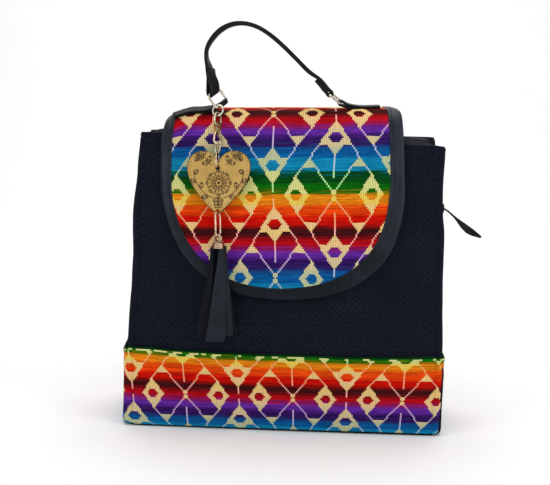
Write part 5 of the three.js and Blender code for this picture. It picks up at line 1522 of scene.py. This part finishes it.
def heart_piece():
    n, m = 400, 112
    edge = heart_outline(n)
    c = np.array([1.0, -9.0])
    rad = np.concatenate([np.linspace(0.012, 0.93, m - 10), np.linspace(0.94, 0.9925, 10)])
    flat = c + (edge[None] - c) * rad[:, None, None]
    px, py = flat[..., 0].ravel(), flat[..., 1].ravel()
    lines, dots = engraving()
    d = line_distance(px, py, lines)
    burn = smooth((0.43 - d) / 0.22)
    for x, y, r in dots:
        burn = np.maximum(burn, smooth((r + 0.12 - np.hypot(px - x, py - y)) / 0.24))
    hole = np.minimum(np.hypot(px, py), np.hypot(px, py + DROP))
    rim = smooth((HOLE_R + 0.55 - hole) / 0.5)
    edge_burn = smooth((np.repeat(rad, n) - 0.958) / 0.03) * 0.75
    groove = -0.22 * burn
    # rows: face from the middle out, rounded rim, back to the middle
    rim_rows = [(0.9985, 1.5 - 0.18), (1.0, 1.5 - 0.55), (1.0, 0.0), (1.0, -1.5 + 0.55), (0.9985, -1.5 + 0.18), (0.9925, -1.5)]
    rows = [np.concatenate([flat.reshape(-1, 2), (HEART_T / 2 + groove)[:, None]], 1).reshape(m, n, 3)]
    burns = [np.maximum.reduce([burn, rim, edge_burn]).reshape(m, n)]
    for f, h in rim_rows:
        rows.append(np.concatenate([c + (edge - c) * f, np.full((n, 1), h)], 1)[None])
        burns.append(np.full((1, n), 1.0 if abs(h) < 1.4 else 0.85))
    back_r = np.linspace(0.93, 0.012, 30)
    fb = c + (edge[None] - c) * back_r[:, None, None]
    rows.append(np.concatenate([fb.reshape(-1, 2), np.full((fb.shape[0] * n, 1), -HEART_T / 2)], 1).reshape(-1, n, 3))
    hole_b = np.minimum(np.hypot(fb[..., 0], fb[..., 1]), np.hypot(fb[..., 0], fb[..., 1] + DROP))
    burns.append(np.maximum(smooth((HOLE_R + 0.55 - hole_b) / 0.5), smooth((np.repeat(back_r[:, None], n, 1) - 0.9) / 0.03) * 0.5))
    g = np.concatenate(rows)
    bn = np.concatenate(burns)
    R = g.shape[0]
    at = np.arange(R * n).reshape(R, n)
    q = np.stack([at[:-1], np.roll(at[:-1], -1, 1), np.roll(at[1:], -1, 1), at[1:]], -1)
    pts = g.reshape(-1, 3)
    walls = []
    quads = q.reshape(-1, 4)
    caps = [at[0][::-1][None], at[-1][None]]
    obj = build("heart_charm", pts, [quads, *caps], WOOD, floats={"burn": bn.ravel()}, sharp=60)
    # drill the two holes
    cutters = []
    for y in (0.0, -DROP):
        k = np.linspace(0, 2 * math.pi, 41)[:-1]
        lo = np.stack([HOLE_R * np.cos(k), y + HOLE_R * np.sin(k), np.full(40, -4.0)], -1)
        hi = lo + (0, 0, 8.0)
        p = np.concatenate([lo, hi])
        i = np.arange(40)
        side = np.stack([i, (i + 1) % 40, (i + 1) % 40 + 40, i + 40], -1)
        cut_ = build("drill", p, [side, i[::-1][None], (i + 40)[None]], WOOD, floats={"burn": np.ones(80)}, sharp=0)
        cutters.append(cut_)
    for cut_ in cutters:
        mod = obj.modifiers.new("drill", "BOOLEAN")
        mod.operation, mod.object, mod.solver = "DIFFERENCE", cut_, "EXACT"
    dg = bpy.context.evaluated_depsgraph_get()
    me = bpy.data.meshes.new_from_object(obj.evaluated_get(dg))
    obj.modifiers.clear()
    old = obj.data
    obj.data = me
    bpy.data.meshes.remove(old)
    me.name = "heart_charm"
    for cut_ in cutters:
        dm = cut_.data
        bpy.data.objects.remove(cut_)
        bpy.data.meshes.remove(dm)
    co = np.empty(len(me.vertices) * 3, np.float32)
    me.vertices.foreach_get("co", co)
    p = co.reshape(-1, 3).astype(float) / MM
    # plate axes: across, up and towards the front
    x_, up_, out_ = p[:, 0], p[:, 1], p[:, 2]
    ca, sa = math.cos(TILT), math.sin(TILT)
    local = np.stack([HEART[0] + x_, HEART[1] - out_ * ca + up_ * sa, HEART[2] + up_ * ca + out_ * sa], -1)
    me.vertices.foreach_set("co", (to_world(local) * MM).astype(np.float32).ravel())
    me.update()
    me.set_sharp_from_angle(angle=math.radians(55))
    return finish_piece(obj, "heart_wood", "heart_charm")


heart_piece()

# ------------------------------------------------------------------ lower link, cap and tassel
CAP_TOP = V3(-60, -72.4, -109.5)
from_ = V3(HEART[0], HEART[1] - DROP * math.sin(TILT), HEART[2] - DROP * math.cos(TILT))
to_ = CAP_TOP + V3(0, 0, -3.9)
al = unit(to_ - from_)
through = V3(0.34, 0.94, 0)
through = unit(through - al * np.dot(through, al))
path, nn = oval((from_ + to_) / 2, al, through, float(np.linalg.norm(to_ - from_)) + 1.0, 11.8, 0.8)
wire("charm_link_lower", path, 0.8, PALE_GOLD, "gold_metal", "charm_link_lower", sides=12, normal=nn)

# a thick eye stands on a ribbed ferrule
cap_rows = [
    (0.05, -8.5), (2.6, -8.5), (4.0, -8.6), (4.8, -8.8), (5.2, -9.1), (5.4, -9.5), (5.3, -9.95), (5.0, -10.2), (4.85, -10.35), (4.95, -10.5), (5.35, -10.7), (5.65, -11.1), (5.75, -11.5),
    (5.65, -11.95), (5.35, -12.2), (5.2, -12.35), (5.3, -12.5), (5.55, -12.75), (5.65, -13.1), (5.6, -13.5), (5.3, -13.7), (4.9, -13.6), (4.6, -13.2), (4.4, -12.6), (0.05, -12.5),
]
ang = np.linspace(0, 2 * math.pi, 49)[:-1]
rows = np.array([np.stack([CAP_TOP[0] + r * np.cos(ang), CAP_TOP[1] + r * np.sin(ang), np.full(48, CAP_TOP[2] + z)], -1) for r, z in cap_rows])
n, m, _ = rows.shape
at = np.arange(n * m).reshape(n, m)
quads = np.stack([at[:-1], np.roll(at[:-1], -1, 1), np.roll(at[1:], -1, 1), at[1:]], -1).reshape(-1, 4)
parts = [volume_out(rows.reshape(-1, 3), [quads, at[0][::-1][None], at[-1][None]])]
a = np.linspace(0, 2 * math.pi, 49)[:-1]
eye_c = CAP_TOP + V3(0, 0, -5.2)
eye_side = unit(np.cross(through, V3(0, 0, 1)))
path = eye_c + 3.2 * (np.cos(a)[:, None] * eye_side + 1.02 * np.sin(a)[:, None] * V3(0, 0, 1))
along_ = unit(np.roll(path, -1, 0) - np.roll(path, 1, 0))
eye_n = unit(np.cross(eye_side, V3(0, 0, 1)))
out = unit(np.cross(along_, eye_n))
g = np.linspace(0, 2 * math.pi, 13)[:-1]
parts.append(volume_out(*sweep(path, out, np.tile(eye_n, (48, 1)), np.stack([1.25 * np.cos(g), 2.5 * np.sin(g)], -1), True)))
points, groups = join(parts)
finish_piece(build("tassel_cap", to_world(points), groups, CAP_GOLD, sharp=0), "gold_metal", "tassel_cap")

# Strips of soft leather, gathered in the cap and spreading to the foot.
# top x, top y, foot x, foot y, top width, foot width, length, twist at the foot
STRIPS = [
    (2.6, -4.0, -2.6, -13.6, 6.2, 17.6, 81.5, 0.05), (-4.0, -1.6, -14.6, -7.2, 5.6, 8.6, 77.5, -0.2), (5.2, -0.6, 9.6, -7.4, 5.0, 7.6, 77.0, 0.25),
    (-4.8, 1.4, -18.4, -4.0, 5.0, 5.6, 75.0, -0.5), (4.8, 2.0, 13.4, -4.4, 5.0, 5.4, 75.5, 0.5), (-0.6, 0.8, -8.6, -5.6, 7.0, 9.0, 76.5, -0.1),
    (0.4, 2.2, 4.2, -3.6, 7.0, 10.0, 76.0, 0.15), (-3.2, 3.2, -12.0, 0.6, 6.0, 8.0, 75.0, -0.3), (2.6, 3.6, 9.0, 0.4, 6.0, 8.0, 74.5, 0.3), (-0.2, 4.0, -2.4, 1.6, 6.0, 10.0, 75.5, 0.0),
]
parts = []
for j, (x0_, y0_, x1_, y1_, w0, w1, length, twist) in enumerate(STRIPS):
    rows_n, cols_n = 46, 11
    k = np.linspace(0, 1, rows_n)
    spread = k**1.25
    cx = lerp(x0_, x1_, spread) + 0.5 * noise2(k * 3.0, j * 3.7 + 0 * k, 301) * k
    cy = lerp(y0_, y1_, np.sin(k * math.pi / 2) ** 0.9) + 0.5 * noise2(k * 3.0, j * 5.1 + 0 * k, 302) * k
    cz = -12.3 - (length + 3.0) * k
    wid = lerp(w0, w1, k**0.8)
    curl = lerp(1.25, 0.22, k**0.6) + 0.12 * noise2(k * 4.0, j * 1.9 + 0 * k, 303)
    face = math.atan2(x0_, -y0_ + 1e-6) if j < 5 else 0.0
    turn = lerp(face * 0.75, twist, smooth(k * 1.3))
    f = np.linspace(-1, 1, cols_n)
    lx = wid[:, None] / 2 * np.sin(f[None] * curl[:, None]) / np.maximum(0.05, curl[:, None])
    ly = wid[:, None] / 2 * (1 - np.cos(f[None] * curl[:, None])) / np.maximum(0.05, curl[:, None])
    ct, st = np.cos(turn)[:, None], np.sin(turn)[:, None]
    gx = cx[:, None] + lx * ct - ly * st * -1
    gy = cy[:, None] + lx * st + ly * ct
    foot = 0.7 * noise2(f * 2.2, j * 2.3 + 0 * f, 304)[None] * (k[:, None] > 0.98)
    front = np.stack([gx, gy, np.repeat(cz[:, None], cols_n, 1) + foot], -1) + CAP_TOP
    n_ = normals_of(front)
    n_ = np.where((n_[..., 1:2] > 0), -n_, n_)
    back_ = front - n_ * 0.9
    verts, quads, used, _ = thick(front, back_)
    parts.append(volume_out(verts, [quads]))
points, groups = join(parts)
# painted shade: all strips but the first and third take the darker copy of the leather
strip = np.repeat([0 if j in (0, 2) else 1 for j in range(len(STRIPS))], [len(p[1][0]) for p in parts])
finish_piece(build("tassel", to_world(points), groups, [TASSEL, TASSEL_PAINTED_SHADE], sharp=50, index=strip), "tassel_leather", "tassel")


# ------------------------------------------------------------------ stage
def stage():
    m, t, b = material("floor")
    n = object_noise(t, 9.0, 3.0)
    t.links.new(ramp(t, n, [(0.3, (0.95, 0.95, 0.95)), (0.7, (0.975, 0.975, 0.97))]), b.inputs["Base Color"])
    b.inputs["Roughness"].default_value = 0.9
    b.inputs["Specular IOR Level"].default_value = 0.1
    prof = [(-3.0, 0.0), (-1.0, 0.0), (1.0, 0.0), (1.5, 0.0)]
    for a in np.linspace(0, math.pi / 2, 14)[1:]:
        prof.append((1.5 + 0.9 * math.sin(a), 0.9 - 0.9 * math.cos(a)))
    prof.append((2.4, 4.0))
    xs = np.linspace(-4, 4, 3)
    verts = [(x, y, z) for y, z in prof for x in xs]
    faces = []
    for i in range(len(prof) - 1):
        for j in range(2):
            a = i * 3 + j
            faces.append((a, a + 1, a + 4, a + 3))
    me = bpy.data.meshes.new("floor")
    me.from_pydata(verts, [], faces)
    me.update()
    me.shade_smooth()
    me.materials.append(m)
    obj = bpy.data.objects.new("floor", me)
    obj.location.z = -0.0002
    bpy.context.scene.collection.objects.link(obj)

    world = bpy.data.worlds.new("studio")
    bpy.context.scene.world = world
    world.use_nodes = True
    bg = world.node_tree.nodes["Background"]
    bg.inputs[0].default_value = (1.0, 1.0, 1.0, 1.0)
    bg.inputs[1].default_value = 0.34

    def area(name, place, target, size, watts):
        data = bpy.data.lights.new(name, "AREA")
        data.shape, data.size, data.energy = "SQUARE", size, watts
        lamp = bpy.data.objects.new(name, data)
        bpy.context.scene.collection.objects.link(lamp)
        p, q = np.array(place, float), np.array(target, float)
        back = unit(p - q)
        right = unit(np.cross([0, 0, 1], back))
        up_ = np.cross(back, right)
        lamp.matrix_world = Matrix([[right[i], up_[i], back[i], p[i]] for i in range(3)] + [[0, 0, 0, 1]])

    area("key_left", (-1.45, -1.15, 1.0), (0, 0, 0.15), 1.0, 10.5)
    area("key_right", (1.5, -1.0, 0.9), (0, 0, 0.15), 1.0, 10)
    area("top", (0.0, -0.3, 1.9), (0, 0, 0.15), 1.2, 9)
    area("front", (0.1, -2.3, 1.1), (0, 0, 0.15), 1.2, 5)
    area("back_wall", (0.0, 0.9, 2.4), (0, 2.2, 0.6), 1.6, 30)


stage()
bpy.context.scene.view_settings.view_transform = "Standard"
